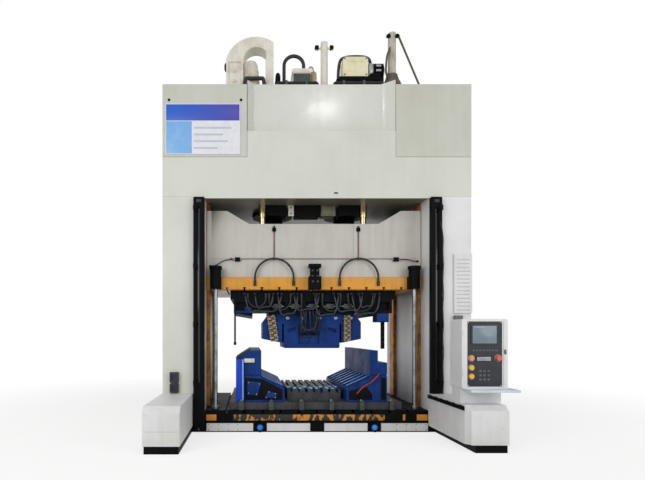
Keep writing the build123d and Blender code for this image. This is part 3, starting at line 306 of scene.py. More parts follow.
@dataclass(frozen=True)
class Polymer(Finish):
    """Moulded plastic or rubber: one colour with a little bloom, and a fine moulded grain.

    Attributes:
        colour: The polymer.
        bloom: The polymer where it is rubbed or dusty.
        roughness: Its roughness.
        grain_mm: Size of the moulded grain, drawn coarser than it is so that it shows.
        grain: Strength of the grain.
        glow: Light that it gives off, as on a lit lens or screen; on the orange acrylic it is painted light.
    """

    colour: str
    bloom: str
    roughness: float = 0.5
    grain_mm: float = 8.0
    grain: float = 0.08
    glow: float = 0.0

    def shade(self, tree: Tree, shader: Node) -> None:
        """Noise for the bloom and for the grain."""
        place = add_node(tree, "TexCoord").outputs["Object"]
        share = ramp(tree, noise(tree, place, self.grain_mm * 14, detail=4.0), (0.45, 0.75))
        grain = noise(tree, place, self.grain_mm, detail=2.0)
        inputs = {
            "Base Color": mixed(tree, share, linear(self.colour), linear(self.bloom)),
            "Roughness": self.roughness,
            "Normal": bumped(tree, grain, self.grain, self.grain_mm * MM / 5),
            "IOR": 1.49,
        }
        feed(tree, shader, inputs)
        if self.glow > 0:
            feed(tree, shader, {"Emission Color": linear(self.colour), "Emission Strength": self.glow})


@dataclass(frozen=True)
class Tape(Finish):
    """Floor-marking tape, scuffed through to the paint under it.

    Attributes:
        colour: The tape.
        rubbed: The tape where its top layer has gone.
        under: The paint that shows through.
        scuff_mm: Length of a scuff.
        gone: Share of the tape that has come off.
        lean_deg: Slant of the scuffs.
        soft: Half the range of noise over which a scuff fades in.
    """

    colour: str
    rubbed: str
    under: str
    scuff_mm: float = 90.0
    gone: float = 0.45
    lean_deg: float = 28.0
    soft: float = 0.03

    def shade(self, tree: Tree, shader: Node) -> None:
        """Slanting scuffs cut through to the paint, and a finer noise rubs the tape."""
        place = add_node(tree, "TexCoord").outputs["Object"]
        turn = (0.0, math.radians(self.lean_deg), 0.0)
        inputs = {"Vector": place, "Rotation": turn, "Scale": (1.0, 1.0, 0.45)}
        slanted = add_node(tree, "Mapping", inputs).outputs[0]
        held = 1 - self.gone
        scuffs = noise(tree, slanted, self.scuff_mm, detail=5.0)
        bare = ramp(tree, scuffs, (held - self.soft, held + self.soft))
        rubs = noise(tree, place, self.scuff_mm / 3, detail=3.0)
        tint = mixed(tree, rubs, linear(self.colour), linear(self.rubbed))
        feed(tree, shader, {"Base Color": mixed(tree, bare, tint, linear(self.under)), "Roughness": 0.55})


@dataclass(frozen=True)
class Fade(Finish):
    """Printed film that fades from one ink to another along X.

    Attributes:
        left: Ink at the left end.
        right: Ink at the right end.
        span: X of the two ends, in metres.
        blot_mm: Size of the uneven patches.
        uneven: Strength of the unevenness.
    """

    left: str
    right: str
    span: Pair
    blot_mm: float = 140.0
    uneven: float = 0.08

    def shade(self, tree: Tree, shader: Node) -> None:
        """A ramp along X, with a little unevenness of the ink."""
        place = add_node(tree, "TexCoord").outputs["Object"]
        along = add_node(tree, "SeparateXYZ", {"Vector": place}).outputs["X"]
        blots = noise(tree, place, self.blot_mm, detail=2.0)
        uneven = ramp(tree, blots, target=(-self.uneven, self.uneven))
        share = reckon(tree, "ADD", ramp(tree, along, self.span), uneven, clamp=True)
        ink = mixed(tree, share, linear(self.left), linear(self.right))
        feed(tree, shader, {"Base Color": ink, "Roughness": 0.4})


# Enamel on the welded frame gives a warm, slightly greenish white with soft reflections; its undersides are
# painted dark as painted shade.
FRAME_ENAMEL = Enamel(
    "enamel_warm_white", "press_white", "#DCDED4", "#D2D3C9", 0.34, streak=0.25, foot=0.9, underside_shade="#6E6858"
)
# The two crown covers are painted darker and yellower than the frame, as painted shade at the top of the
# press.
SHADED_COVER_ENAMEL = Enamel("enamel_white_painted_shade", "press_white", "#CFD0C5", "#C3C3B4", 0.4, streak=0.25)
# The right upright is painted lighter and cooler than the frame, as painted light from the right.
RIGHT_LIT_ENAMEL = Enamel("enamel_cool_white_painted_light", "press_white", "#EAEBEB", "#DEDFDE", 0.34, streak=0.25, foot=0.9)
# The recessed centre cover is glossier, so a lamp shows in it as a soft patch.
COVER_ENAMEL = Enamel(
    "enamel_gloss_white", "press_white", "#DADCD4", "#D2D3CB", 0.24, streak=0.25, peel=0.03, coat=0.25
)
# Powder coat on sheet housings is cooler and a little flatter.
POWDER_COAT = Enamel(
    "powder_coat_cool_white", "cover_white", "#EAEBEC", "#DCDBD7", 0.45, streak=0.3, foot=0.35
)
# Slide paint is a warmer grey-white, painted darker than the frame as painted shade in its recess; oil mist
# dulls its gloss.
SHADED_SLIDE_ENAMEL = Enamel("enamel_slide_white_painted_shade", "slide_white", "#CFCCC5", "#C0BBB1", 0.5, 700.0, 0.4)
# Signal orange enamel, rubbed darker along the beam.
ORANGE_ENAMEL = Enamel(
    "enamel_signal_orange", "signal_orange", "#E5A02C", "#B87A1E", 0.38, 420.0, 0.35, coat=0.15
)
# Black enamel reads as deep charcoal with dusty grey patches.
BLACK_ENAMEL = Enamel("enamel_black", "black_paint", "#0A0B0C", "#141517", 0.5, 260.0, 0.4, shine=0.06)
# Blue die paint, glossy and chalky where it is worn.
BLUE_ENAMEL = Enamel("enamel_die_blue", "die_blue", "#133C86", "#0A2149", 0.48, 260.0, 0.3, shine=0.16)
# Dark cast iron, ground and oiled: nearly black with a dull sheen.
CAST_IRON = Enamel(
    "cast_iron_oiled", "die_iron", "#0B0D0F", "#16181A", 0.55, 160.0, 0.2, 14.0, 0.25, shine=0.08
)
# The lower die's nest and shoe are a dull grey, lighter than the upper die's iron.
DULL_GREY_IRON = Enamel(
    "cast_iron_dull_grey", "die_iron", "#4A4B50", "#2C2E33", 0.5, 160.0, 0.3, 14.0, 0.25, shine=0.2
)
# Cream enamel of the hydraulic equipment, yellowed by oil.
CREAM_ENAMEL = Enamel("enamel_cream", "cream_paint", "#EAE6D9", "#C9C2B0", 0.42, 240.0, 0.3)
# The valve box is a yellower cream.
YELLOW_CREAM = Enamel("enamel_yellow_cream", "cream_paint", "#F0EAC6", "#D6CDA4", 0.42, 240.0, 0.25)
# Cream that old grease has stained brown, as on the jib.
STAINED_CREAM = Enamel("enamel_cream_stained", "cream_paint", "#CBC5B6", "#85775F", 0.5, 200.0, 0.5)
# The junction box's cream enamel is painted dark olive-grey as painted shade under the crown.
SHADED_CREAM_ENAMEL = Enamel("enamel_cream_painted_shade", "cream_paint", "#77745E", "#55523F", 0.5, 120.0, 0.3)
# Bronze rails and liners are brown-gold and greasy.
BRONZE = Metal("bronze_scraped", "bronze", "#A8743C", "#664422", 0.5)
# Hard-chromed rods are tinted a warm gold, with darker stains.
CHROME = Metal("hard_chrome_warm_tint", "chrome_rod", "#D9C69C", "#A88E60", 0.18, 5.0)
# Turned steel posts and rods are grey with fine rings.
STEEL = Metal("turned_steel", "steel", "#9C9FA2", "#6F6A62", 0.32, 5.0, (0.05, 0.05, 1.0))
# Drawn copper tube, gone brown.
COPPER = Metal("copper_tube_tarnished", "copper_pipe", "#80543F", "#43302A", 0.45)
# Hydraulic hose has a matt black cover with a grey bloom.
HOSE_RUBBER = Polymer("nitrile_hose_black", "hose_rubber", "#121314", "#2B2C2E", 0.6)
# Black-painted steel pipe on the deck, greyed by dust.
BLACK_PIPE = Enamel("enamel_black_pipe", "black_paint", "#1B1C1D", "#3A3A38", 0.5, 120.0, 0.4, shine=0.2)
# Textured black plastic of panels, sockets and housings.
DARK_ABS = Polymer("abs_textured_black", "console_black", "#15171C", "#23262D", 0.5)
# Grey-green plastic trunking.
TRUNK_PVC = Polymer("pvc_grey_green", "trunk_grey", "#5F665E", "#767C72", 0.5)
# Screen film, a lit grey-blue.
SCREEN_FILM = Polymer("screen_film_grey_blue", "screen_face", "#6F7F8A", "#8797A0", 0.2, grain=0.0, glow=0.12)
# Button caps are clear-coloured acrylic, glossy.
# The orange acrylic's glow, also on the isolator handle, is painted light.
GLOWING_ORANGE_ACRYLIC = Polymer("acrylic_orange_painted_glow", "button_orange", "#F08A30", "#F7A75A", 0.25, grain=0.02, glow=0.1)
AMBER_ACRYLIC = Polymer("acrylic_amber", "button_amber", "#FFB01E", "#FFC552", 0.25, grain=0.02, glow=0.1)
RED_ACRYLIC = Polymer("acrylic_red", "button_red", "#E04A34", "#EE6A52", 0.25, grain=0.02)
# Lamp lenses are deep blue and lit from inside.
BLUE_LENS = Polymer("acrylic_lens_blue", "lens_blue", "#1E78D2", "#4AA2F0", 0.12, grain=0.0, glow=0.25)
# Sign sheet is matt printed plastic, with blue ink that fades to violet.
WHITE_PVC = Polymer("pvc_sheet_white", "sign_blank", "#EAECF2", "#DCE0EA", 0.45, grain=0.02)
SIGN_HEADER_INK = Fade("printed_film_blue_violet", "sign_blank", "#1060D0", "#4A46B0", (-2.5, -1.27))
SIGN_BLOCK_INK = Polymer("printed_film_light_blue", "sign_blank", "#7DB5EC", "#8FC0F0", 0.4, grain=0.02)
SIGN_LINE_INK = Polymer("printed_film_grey", "sign_blank", "#C3C8D8", "#CDD2DF", 0.4, grain=0.02)
# Beige nylon of cable chains and boxes, dull with oil.
BEIGE_NYLON = Polymer("polyamide_beige", "cream_paint", "#B9A47C", "#8E7B5A", 0.55)
# Oily brown-black cables that show between the links.
OILED_CABLE = Polymer("cable_jacket_brown_black", "hose_rubber", "#2A241D", "#453B2E", 0.5)
# Woven filter drum, a pale dusty beige.
PALE_FELT = Polymer("felt_pale_beige", "cream_paint", "#E0DACC", "#BFB6A3", 0.85, 14.0, 0.3)
# Fresh blue on the tower's cheek is brighter than the old die paint; a pale strip along its edge is a painted
# highlight.
BRIGHT_BLUE = Enamel(
    "enamel_bright_blue", "die_blue", "#0F46DA", "#0C34A6", 0.35, 300.0, 0.3, coat=0.08, shine=0.25
)
PALE_BLUE = Enamel("enamel_pale_blue", "die_blue", "#8CB8EC", "#6A96CE", 0.35, 120.0, 0.3)
# Red air hose, soft and half glossy.
RED_HOSE = Polymer("pvc_hose_red", "button_red", "#B0322A", "#8A241E", 0.45)
# Marking tape on the bolster is orange where it holds and gone where pallets rub.
WORN_TAPE = Tape("pvc_tape_orange_worn", "signal_orange", "#E39A2C", "#BE7A22", "#101113", 75.0, 0.53)
WHOLE_TAPE = Tape("pvc_tape_orange", "signal_orange", "#E59A2C", "#C47E22", "#141517", 90.0, 0.26)
# Filter bowls are amber polycarbonate, brown with oil behind them.
TAN_BOWL = Polymer("polycarbonate_tan", "cream_paint", "#B4A17C", "#7C6C50", 0.28, grain=0.02)
# The jib's stay has rusted to a dry dark brown.
RUSTED_STEEL = Enamel("steel_rusted", "steel", "#6A5D52", "#453A32", 0.75, 90.0, 0.3, 10.0, 0.3)
# Dark grey-green enamel of instrument faces.
DARK_ENAMEL = Enamel("enamel_grey_green", "black_paint", "#2C3634", "#46504A", 0.4, 160.0, 0.3)
# Small lit display and the soft keys of the console.
WHITE_DISPLAY = Polymer("display_film_white", "screen_face", "#9CA4B0", "#7E8692", 0.3, grain=0.0, glow=0.08)
GREY_KEYS = Polymer("silicone_keys_grey", "console_black", "#545963", "#6C717B", 0.55)
# The tray has a sheet of bluish glass-fibre laminate.
BLUE_LAMINATE = Enamel("laminate_bluish_white", "cover_white", "#DCE3EC", "#C6CED8", 0.3, 300.0, 0.2)
# Dark blue-black hoses of the die.
BLUE_HOSE = Polymer("polyurethane_hose_dark_blue", "hose_rubber", "#16202F", "#27354A", 0.35)
# Clear polycarbonate over black, as the light curtain's windows are.
BLACK_WINDOW = Polymer("polycarbonate_window_black", "black_paint", "#060708", "#0C0E10", 0.12, grain=0.0)

NODES_BY_FINISH: dict[Finish, tuple[str, ...]] = {
    FRAME_ENAMEL: ("left_upright", "crown", "crown_fascia"),
    RIGHT_LIT_ENAMEL: ("right_upright",),
    SHADED_COVER_ENAMEL: ("left_crown_cover", "right_crown_cover"),
    COVER_ENAMEL: ("centre_crown_cover",),
    POWDER_COAT: ("bed_front_covers", "left_pedestal", "right_pedestal", "louvre_panel", "console_cabinet"),
    SHADED_SLIDE_ENAMEL: ("slide_block",),
    ORANGE_ENAMEL: ("slide_beam",),
    BLACK_ENAMEL: (
        "bed", "left_cylinder", "right_cylinder", "left_ram", "right_ram", "valve_block",
        "guide_bushes", "slide_manifold", "bolster", "bolster_lock", "lamp_housings", "curtain_posts",
        "plinths", "pump_stand", "pump_motor",
    ),
    BLUE_ENAMEL: ("upper_die_block", "lower_die_saddle"),
    CAST_IRON: ("upper_die_shoe",),
    DULL_GREY_IRON: ("lower_die_shoe",),
    CREAM_ENAMEL: ("arch_bracket", "lifting_mast", "filter_housing"),
    YELLOW_CREAM: ("valve_box",),
    STAINED_CREAM: ("jib_post",),
    RUSTED_STEEL: ("jib_stay",),
    BLUE_LAMINATE: ("console_tray",),
    STEEL: ("tie_rods", "guide_posts"),
    BRONZE: ("guide_rails", "slide_liners"),
    CHROME: ("return_rods",),
    COPPER: ("slide_pipes",),
    HOSE_RUBBER: ("hose_loops", "oil_hose"),
    WHITE_PVC: ("sign_board",),
    DARK_ABS: ("socket_outlets", "console_panel", "console_screen"),
    TRUNK_PVC: ("cable_trunking", "isolator_base"),
    GLOWING_ORANGE_ACRYLIC: ("isolator_handle", "upper_button"),
    AMBER_ACRYLIC: ("middle_button", "lower_button"),
    RED_ACRYLIC: ("emergency_stop",),
    BLUE_LENS: ("lamp_lenses",),
}
NODE_FINISHES = {node: finish for finish, nodes in NODES_BY_FINISH.items() for node in nodes}


@dataclass
class Dressing:
    """Paint and softened edges of the frame's own nodes.

    Attributes:
        edge_mm: Radius of a painted sheet edge.
        merge_mm: Distance within which split corners are one corner.
        sharp_deg: Smallest angle between two faces that counts as an edge.
    """

    edge_mm: float = 5.0
    merge_mm: float = 0.05
    sharp_deg: float = 40.0

    def soften(self, node: Object) -> None:
        """Rounds a node's edges as a modifier, so that they catch the light.

        Args:
            node: Object of a node; its own mesh stays as it is.
        """
        weld = node.modifiers.new("joined_corners", "WELD")
        weld.merge_threshold = self.merge_mm * MM
        bevel = node.modifiers.new("painted_edges", "BEVEL")
        bevel.width = self.edge_mm * MM
        bevel.segments = 2
        bevel.limit_method = "ANGLE"
        bevel.angle_limit = math.radians(self.sharp_deg)
        bevel.use_clamp_overlap = True
        node.modifiers.new("even_shading", "WEIGHTED_NORMAL")

    def dress(self) -> None:
        """Paints every node."""
        for name, finish in NODE_FINISHES.items():
            node = NODES[name]
            node.data.materials.clear()
            node.data.materials.append(finish.material())
            LOG.info("%s: %s", name, finish.name)
        for name in SOFT_EDGED:
            self.soften(NODES[name])


SOFT_EDGED: tuple[str, ...] = (
    "crown_fascia", "left_crown_cover", "right_crown_cover", "centre_crown_cover", "slide_block",
    "slide_beam", "left_pedestal", "right_pedestal", "upper_die_block", "upper_die_shoe",
    "lower_die_saddle", "valve_box", "bed_front_covers", "curtain_posts", "bolster", "console_tray",
    "socket_outlets", "slide_manifold", "pump_stand",
)


@dataclass(frozen=True)
class Extent:
    """Box of a node at rest.

    Attributes:
        low: Its left, front, lower corner.
        high: Its right, rear, upper corner.
    """

    low: Vector
    high: Vector

    @classmethod
    def of(cls, node: str) -> "Extent":
        """Box of the named node."""
        low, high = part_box(node)
        return cls(Vector(low), Vector(high))

    @property
    def middle(self) -> Vector:
        """Its centre."""
        return (self.low + self.high) / 2

    @property
    def size(self) -> Vector:
        """Its three sides."""
        return self.high - self.low

    def corners(self, side: float, low: float, high: float) -> list[Pair]:
        """Places near the four corners of its front.

        Args:
            side: Distance from its left and right.
            low: Distance from its bottom.
            high: Distance from its top.

        Returns:
            X and Z of each place.
        """
        across = (self.low.x + side, self.high.x - side)
        return [(x, z) for x in across for z in (self.low.z + low, self.high.z - high)]


def settle(thing: Object, finish: Finish, body: Body) -> None:
    """Puts a new piece into the scene, on the body that carries it.

    Args:
        thing: The new object.
        finish: Its finish.
        body: Body that it rides on.
    """
    thing.data.materials.append(finish.material())
    bpy.context.scene.collection.objects.link(thing)
    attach(thing, body.value)
    LOG.info("%s: %s on %s", thing.name, finish.name, body.value)


class Shape:
    """A mesh under construction, made of softened blocks, plates and turned parts.

    Attributes:
        sharp_deg: Angle from which an edge is shaded sharp.
    """

    sharp_deg: ClassVar[float] = 38.0

    def __init__(self, edge_mm: float = 3.0) -> None:
        """Starts with nothing.

        Args:
            edge_mm: Radius of the edges of blocks and plates.
        """
        self.mesh = bmesh.new()
        self.edge = edge_mm * MM

    def _soften(self, corners: Sequence[bmesh.types.BMVert], reach: float) -> None:
        """Rounds all edges at some corners."""
        edges = list({edge for corner in corners for edge in corner.link_edges})
        bmesh.ops.bevel(
            self.mesh, geom=edges, offset=reach, segments=2, profile=0.5, affect="EDGES", clamp_overlap=True
        )

    def block(self, low: Point, high: Point, tilt_deg: float = 0.0) -> "Shape":
        """Adds a block with rounded edges.

        Args:
            low: One corner before it is tilted.
            high: The opposite corner.
            tilt_deg: Turn about the block's own Y axis.

        Returns:
            The shape itself.
        """
        size = Vector(high) - Vector(low)
        place = Matrix.Translation((Vector(low) + Vector(high)) / 2)
        turn = Matrix.Rotation(math.radians(tilt_deg), 4, "Y")
        made = bmesh.ops.create_cube(self.mesh, size=1.0, matrix=place @ turn @ Matrix.Diagonal((*size, 1.0)))
        self._soften(made["verts"], min(self.edge, 0.3 * min(size)))
        return self

    def pad(self, middle: Pair, half: Pair, near: float, far: float) -> "Shape":
        """Adds a block by its middle in X and Z.

        Args:
            middle: X and Z of its middle.
            half: Half its width and half its height.
            near: Y of its front.
            far: Y of its back.

        Returns:
            The shape itself.
        """
        (x, z), (wide, tall) = middle, half
        return self.block((x - wide, near, z - tall), (x + wide, far, z + tall))

    def plate(self, outline: Sequence[Pair], near: float, far: float) -> "Shape":
        """Adds a plate cut to an outline in X and Z.

        Args:
            outline: Its corners in order.
            near: Y of its front.
            far: Y of its back.

        Returns:
            The shape itself.
        """
        front = [self.mesh.verts.new((x, near, z)) for x, z in outline]
        back = [self.mesh.verts.new((x, far, z)) for x, z in outline]
        self.mesh.faces.new(front)
        self.mesh.faces.new(back[::-1])
        for here in range(len(outline)):
            self.mesh.faces.new((front[here - 1], back[here - 1], back[here], front[here]))
        self._soften(front + back, self.edge)
        return self

    def turned(
        self,
        base: Point,
        axis: Point,
        profile: Sequence[Pair],
        sides: int = 32,
        ring: bool = False,
    ) -> "Shape":
        """Adds a part turned about an axis.

        Args:
            base: Point on the axis from which the profile is measured.
            axis: Direction of the axis.
            profile: Radius and distance along the axis of each step.
            sides: Facets around the axis.
            ring: Whether the profile closes on itself, as a collar's does.

        Returns:
            The shape itself.
        """
        aim = Vector(axis).to_track_quat("Z", "Y").to_matrix()
        angles = [math.tau * (index + 0.5) / sides for index in range(sides)]
        rows = [
            [
                self.mesh.verts.new(
                    Vector(base) + aim @ Vector((radius * math.cos(angle), radius * math.sin(angle), along))
                )
                for angle in angles
            ]
            for radius, along in profile
        ]
        for lower, upper in zip(rows, rows[1:] + rows[:1] if ring else rows[1:]):
            for here in range(sides):
                self.mesh.faces.new((lower[here - 1], lower[here], upper[here], upper[here - 1]))
        if not ring:
            self.mesh.faces.new(rows[0][::-1])
            self.mesh.faces.new(rows[-1])
        return self

    def bolt(self, seat: Point, axis: Point, radius: float) -> None:
        """Adds a hexagon bolt head on a washer.

        Args:
            seat: Point of the surface under the washer.
            axis: Direction in which the head stands out.
            radius: Corner radius of the hexagon.
        """
        washer = 0.25 * radius
        disc = ((1.35 * radius, 0.0), (1.35 * radius, 0.7 * washer), (1.25 * radius, washer))
        head = ((radius, 0.0), (radius, 0.55 * radius), (0.84 * radius, 0.7 * radius))
        self.turned(seat, axis, disc, 20)
        self.turned(Vector(seat) + Vector(axis).normalized() * washer, axis, head, 6)

    def screw(self, seat: Point, axis: Point, radius: float) -> None:
        """Adds a socket screw head, with its recess.

        Args:
            seat: Point of the surface under the head.
            axis: Direction in which the head stands out.
            radius: Radius of the head.
        """
        profile = (
            (radius, 0.0),
            (radius, 0.55 * radius),
            (0.88 * radius, 0.72 * radius),
            (0.5 * radius, 0.72 * radius),
            (0.5 * radius, 0.3 * radius),
        )
        self.turned(seat, axis, profile, 18)

    def piece(self, name: str, finish: Finish, body: Body = Body.FRAME) -> None:
        """Ends the shape as an object.

        Args:
            name: Name of the piece.
            finish: Its finish.
            body: Body that it rides on.
        """
        bmesh.ops.recalc_face_normals(self.mesh, faces=self.mesh.faces)
        mesh = bpy.data.meshes.new(name)
        self.mesh.to_mesh(mesh)
        self.mesh.free()
        mesh.shade_smooth()
        mesh.set_sharp_from_angle(angle=math.radians(self.sharp_deg))
        settle(bpy.data.objects.new(name, mesh), finish, body)


def slab(name: str, finish: Finish, low: Point, high: Point, edge_mm: float) -> None:
    """Adds a piece of the frame that is one block.

    Args:
        name: Name of the piece.
        finish: Its finish.
        low: One corner.
        high: The opposite corner.
        edge_mm: Radius of its edges.
    """
    Shape(edge_mm).block(low, high).piece(name, finish)


def hose(
    name: str, points: Sequence[Point], radius_mm: float, finish: Finish, body: Body = Body.FRAME
) -> None:
    """Adds a bent hose or pipe.

    Args:
        name: Name of the piece.
        points: Control points of its middle line; it starts and ends on the first and the last.
        radius_mm: Its radius.
        finish: Its finish.
        body: Body that it rides on.
    """
    curve = bpy.data.curves.new(name, "CURVE")
    curve.dimensions = "3D"
    curve.bevel_depth = radius_mm * MM
    curve.bevel_resolution = 4
    curve.use_fill_caps = True
    curve.resolution_u = 8
    spline = curve.splines.new("NURBS")
    spline.points.add(len(points) - 1)
    for knot, place in zip(spline.points, points):
        knot.co = (*place, 1.0)
    spline.order_u = 3
    spline.use_endpoint_u = True
    settle(bpy.data.objects.new(name, curve), finish, body)


FORWARD = (0.0, -1.0, 0.0)
UPWARD = (0.0, 0.0, 1.0)
DOWNWARD = (0.0, 0.0, -1.0)
RIGHTWARD = (1.0, 0.0, 0.0)
LEFTWARD = (-1.0, 0.0, 0.0)
SIDES = (-1, 1)


@dataclass
class SignFace:
    """Print on the sign board, with no words, and the studs and the plug near it.

    Attributes:
        film: Thickness of the film.
        rim: White rim left around the print.
        header_share: Share of the height under the header.
        block_share: Share of the width under the light block.
        line_shares: Lengths of the plain lines as shares of the white field.
        studs: X and Z of the studs above the board.
        stud_radius: Radius of a stud.
        plug: X and Z of the rubber plug in the fascia.
        plug_half: Half its width and half its height.
        plug_depth: How far it stands out.
    """

    film: float = 0.002
    rim: float = 0.012
    header_share: float = 0.335
    block_share: float = 0.353
    line_shares: tuple[float, ...] = (0.82, 0.64, 0.74, 0.52)
    studs: Pairs = ((-2.441, 5.476), (-1.253, 5.476))
    stud_radius: float = 0.02
    plug: Pair = (0.313, 3.942)
    plug_half: Pair = (0.03, 0.011)
    plug_depth: float = 0.006

    def build(self) -> None:
        """Lays the film on the board and sets the studs."""
        board = Extent.of("sign_board")
        near, far = board.low.y - self.film, board.low.y
        left, right = board.low.x + self.rim, board.high.x - self.rim
        foot = board.high.z - self.header_share * board.size.z
        split = board.low.x + self.block_share * board.size.x
        low, top = board.low.z + self.rim, board.high.z - self.rim
        slab("sign_header", SIGN_HEADER_INK, (left, near, foot), (right, far, top), 0.5)
        slab("sign_block", SIGN_BLOCK_INK, (left, near, low), (split, far, foot - self.rim), 0.5)
        lines = Shape(0.5)
        pitch = (foot - board.low.z) / (len(self.line_shares) + 1)
        for row, share in enumerate(self.line_shares, 1):
            level = foot - row * pitch
            start = split + 3 * self.rim
            low, high = level - 2 * self.rim, level + 0.5 * self.rim
            lines.block((start, near, low), (start + share * (right - start), far, high))
        lines.piece("sign_lines", SIGN_LINE_INK)
        studs = Shape()
        for x, z in self.studs:
            studs.screw((x, Extent.of("left_crown_cover").low.y, z), FORWARD, self.stud_radius)
        face = Extent.of("crown_fascia").low.y
        studs.pad(self.plug, self.plug_half, face - self.plug_depth, face)
        studs.piece("cover_studs", BLACK_ENAMEL)


@dataclass
class UnderCrown:
    """Junction box and drilled plate beside the valve block, and sleeves around the return rods.

    Attributes:
        box_x: Left and right of the box.
        box_depth: Its depth.
        plate_x: Left and right of the plate.
        plate_depth: Its thickness.
        inset: Step between the valve block's front and the plate.
        bolt_radius: Radius of their bolts.
        rod_radius: Radius of a return rod.
        sleeve: Inner and outer radius and length of the sleeve around a return rod.
    """

    box_x: Pair = (0.142, 0.400)
    box_depth: float = 0.24
    plate_x: Pair = (-0.430, -0.334)
    plate_depth: float = 0.03
    inset: float = 0.02
    bolt_radius: float = 0.012
    rod_radius: float = 0.052
    sleeve: Triple = (0.054, 0.066, 0.215)

    def build(self) -> None:
        """Hangs both parts, bolts them, and sleeves the return rods."""
        valve = Extent.of("valve_block")
        front, low, top = valve.low.y, valve.low.z, valve.high.z
        left, right = self.box_x
        step = self.inset
        box = Shape(6.0).block((left, front + step, low), (right, front + self.box_depth, top))
        box.block((left + step, front, low + step), (right - step, front + step, top - step))
        box.piece("junction_box", SHADED_CREAM_ENAMEL)
        start, end = self.plate_x
        far = front + step + self.plate_depth
        slab("drilled_plate", CREAM_ENAMEL, (start, front + step, low), (end, far, top), 3.0)
        bolts = Shape()
        for near, ends in ((front, self.box_x), (front + step, self.plate_x)):
            for x, inward in zip(ends, (1, -1)):
                for z in (low + 2 * step, top - 2 * step):
                    bolts.screw((x + inward * 2 * step, near, z), FORWARD, self.bolt_radius)
        bolts.piece("junction_screws", STEEL)
        rods = Extent.of("return_rods")
        inner, outer, length = self.sleeve
        lip = 1.02 * length
        profile = ((inner, 0), (outer, 0), (outer, length), (0.94 * outer, lip), (inner, lip))
        sleeves = Shape()
        for x in (rods.low.x + self.rod_radius, rods.high.x - self.rod_radius):
            sleeves.turned((x, rods.low.y + self.rod_radius, top), DOWNWARD, profile, 40, ring=True)
        sleeves.piece("rod_sleeves", CHROME)


@dataclass
class SlideLines:
    """Connectors, fittings and conduits on the front of the slide.

    Attributes:
        connectors: X of the two connectors on the cross line.
        connector: Half width, depth and half height of a connector.
        line_rise: Height of the cross line's middle above the lowest point of the pipes.
        fitting_radius: Radius of the unions on the upright pipes.
        upright_pipes: X of the two upright pipes.
        pipe_gap: Distance from the slide's face to the middle of a pipe.
        union_drop: Distance of the unions below the top of the pipes.
        union_depth: Depth of the block that carries a union.
        manifold_step: Depth of the manifold's upper part behind its front.
        seat: Depth to which a nipple sits in the surface.
        conduit_mm: Radius of a conduit.
        edge: X at which the conduits go into the slide.
        drops: How far the left and the right conduit come down.
        inside: Depth inside a nut at which a conduit starts.
        straight: Straight length of a conduit at its connector.
        lead: Straight length at its gland.
        gap: Distance from the slide's face to a conduit.
    """

    connectors: Pair = (-1.321, 1.413)
    connector: Triple = (0.045, 0.05, 0.034)
    line_rise: float = 0.005
    fitting_radius: float = 0.026
    upright_pipes: Pair = (-0.688, 0.766)
    pipe_gap: float = 0.016
    union_drop: float = 0.06
    union_depth: float = 0.02
    manifold_step: float = 0.03
    seat: float = 0.004
    conduit_mm: float = 8.0
    edge: float = 1.79
    drops: Pair = (0.11, 0.03)
    inside: float = 0.02
    straight: float = 0.16
    lead: float = 0.1
    gap: float = 0.03

    def build(self) -> None:
        """Sets everything on the slide's face."""
        pipes = Extent.of("slide_pipes")
        face = Extent.of("slide_block").low.y
        line = pipes.low.z + self.line_rise
        half, depth, rise = self.connector
        connectors = Shape(4.0)
        nut = ((0.018, 0), (0.018, 0.022))
        nuts = Shape()
        for x in self.connectors:
            connectors.pad((x, line), (half, rise), face - depth, face)
            connectors.pad((x, line), (0.5 * half, 0.6 * rise), face - 1.3 * depth, face)
            for way in SIDES:
                nuts.turned((x + way * half, face - 0.5 * depth, line), (way, 0, 0), nut, 6)
        connectors.piece("slide_connectors", BLACK_ENAMEL, Body.SLIDE)
        nuts.piece("slide_connector_nuts", STEEL, Body.SLIDE)
        unions = Shape(3.0)
        size = self.fitting_radius
        shell = ((size, 0), (size, 1.2 * size), (0.7 * size, 1.4 * size))
        level = pipes.high.z - self.union_drop
        for x in self.upright_pipes:
            for way in (UPWARD, DOWNWARD):
                unions.turned((x, face - self.pipe_gap, level), way, shell, 6)
            unions.pad((x, level), (1.3 * size, size), face - self.union_depth, face)
        unions.piece("slide_pipe_unions", BLACK_ENAMEL, Body.SLIDE)
        manifold = Extent.of("slide_manifold")
        nipples = Shape()
        nipple = ((0.02, 0), (0.02, 0.012), (0.013, 0.014), (0.013, 0.034))
        for x_share in (0.3, 0.7):
            for z_share, back in ((0.3, 0.0), (0.52, self.manifold_step), (0.74, self.manifold_step)):
                x = manifold.low.x + x_share * manifold.size.x
                z = manifold.low.z + z_share * manifold.size.z
                nipples.turned((x, manifold.low.y + back + self.seat, z), FORWARD, nipple, 16)
        nipples.piece("manifold_nipples", DULL_GREY_IRON, Body.SLIDE)
        self.build_conduits(face, line)

    def build_conduits(self, face: float, line: float) -> None:
        """Runs a conduit from each connector to a gland at the slide's edge.

        Args:
            face: Y of the slide's front.
            line: Height of the cross line.
        """
        half, depth, _ = self.connector
        gland = ((0.02, 0), (0.02, 0.012), (0.013, 0.016))
        glands = Shape()
        for side, name, x, drop in zip(SIDES, ("left", "right"), self.connectors, self.drops):
            start = x + side * (half + self.inside)
            level = line - drop
            path = [
                (start, face - 0.5 * depth, line),
                (start + side * self.straight, face - 0.5 * depth, line),
                (side * (self.edge - self.lead), face - self.gap, level),
                (side * self.edge, face - self.gap, level),
                (side * self.edge, face, level),
            ]
            hose(f"slide_conduit_{name}", path, self.conduit_mm, HOSE_RUBBER, Body.SLIDE)
            glands.turned((side * self.edge, face, level), FORWARD, gland, 8)
        glands.piece("slide_glands", BLACK_ENAMEL, Body.SLIDE)


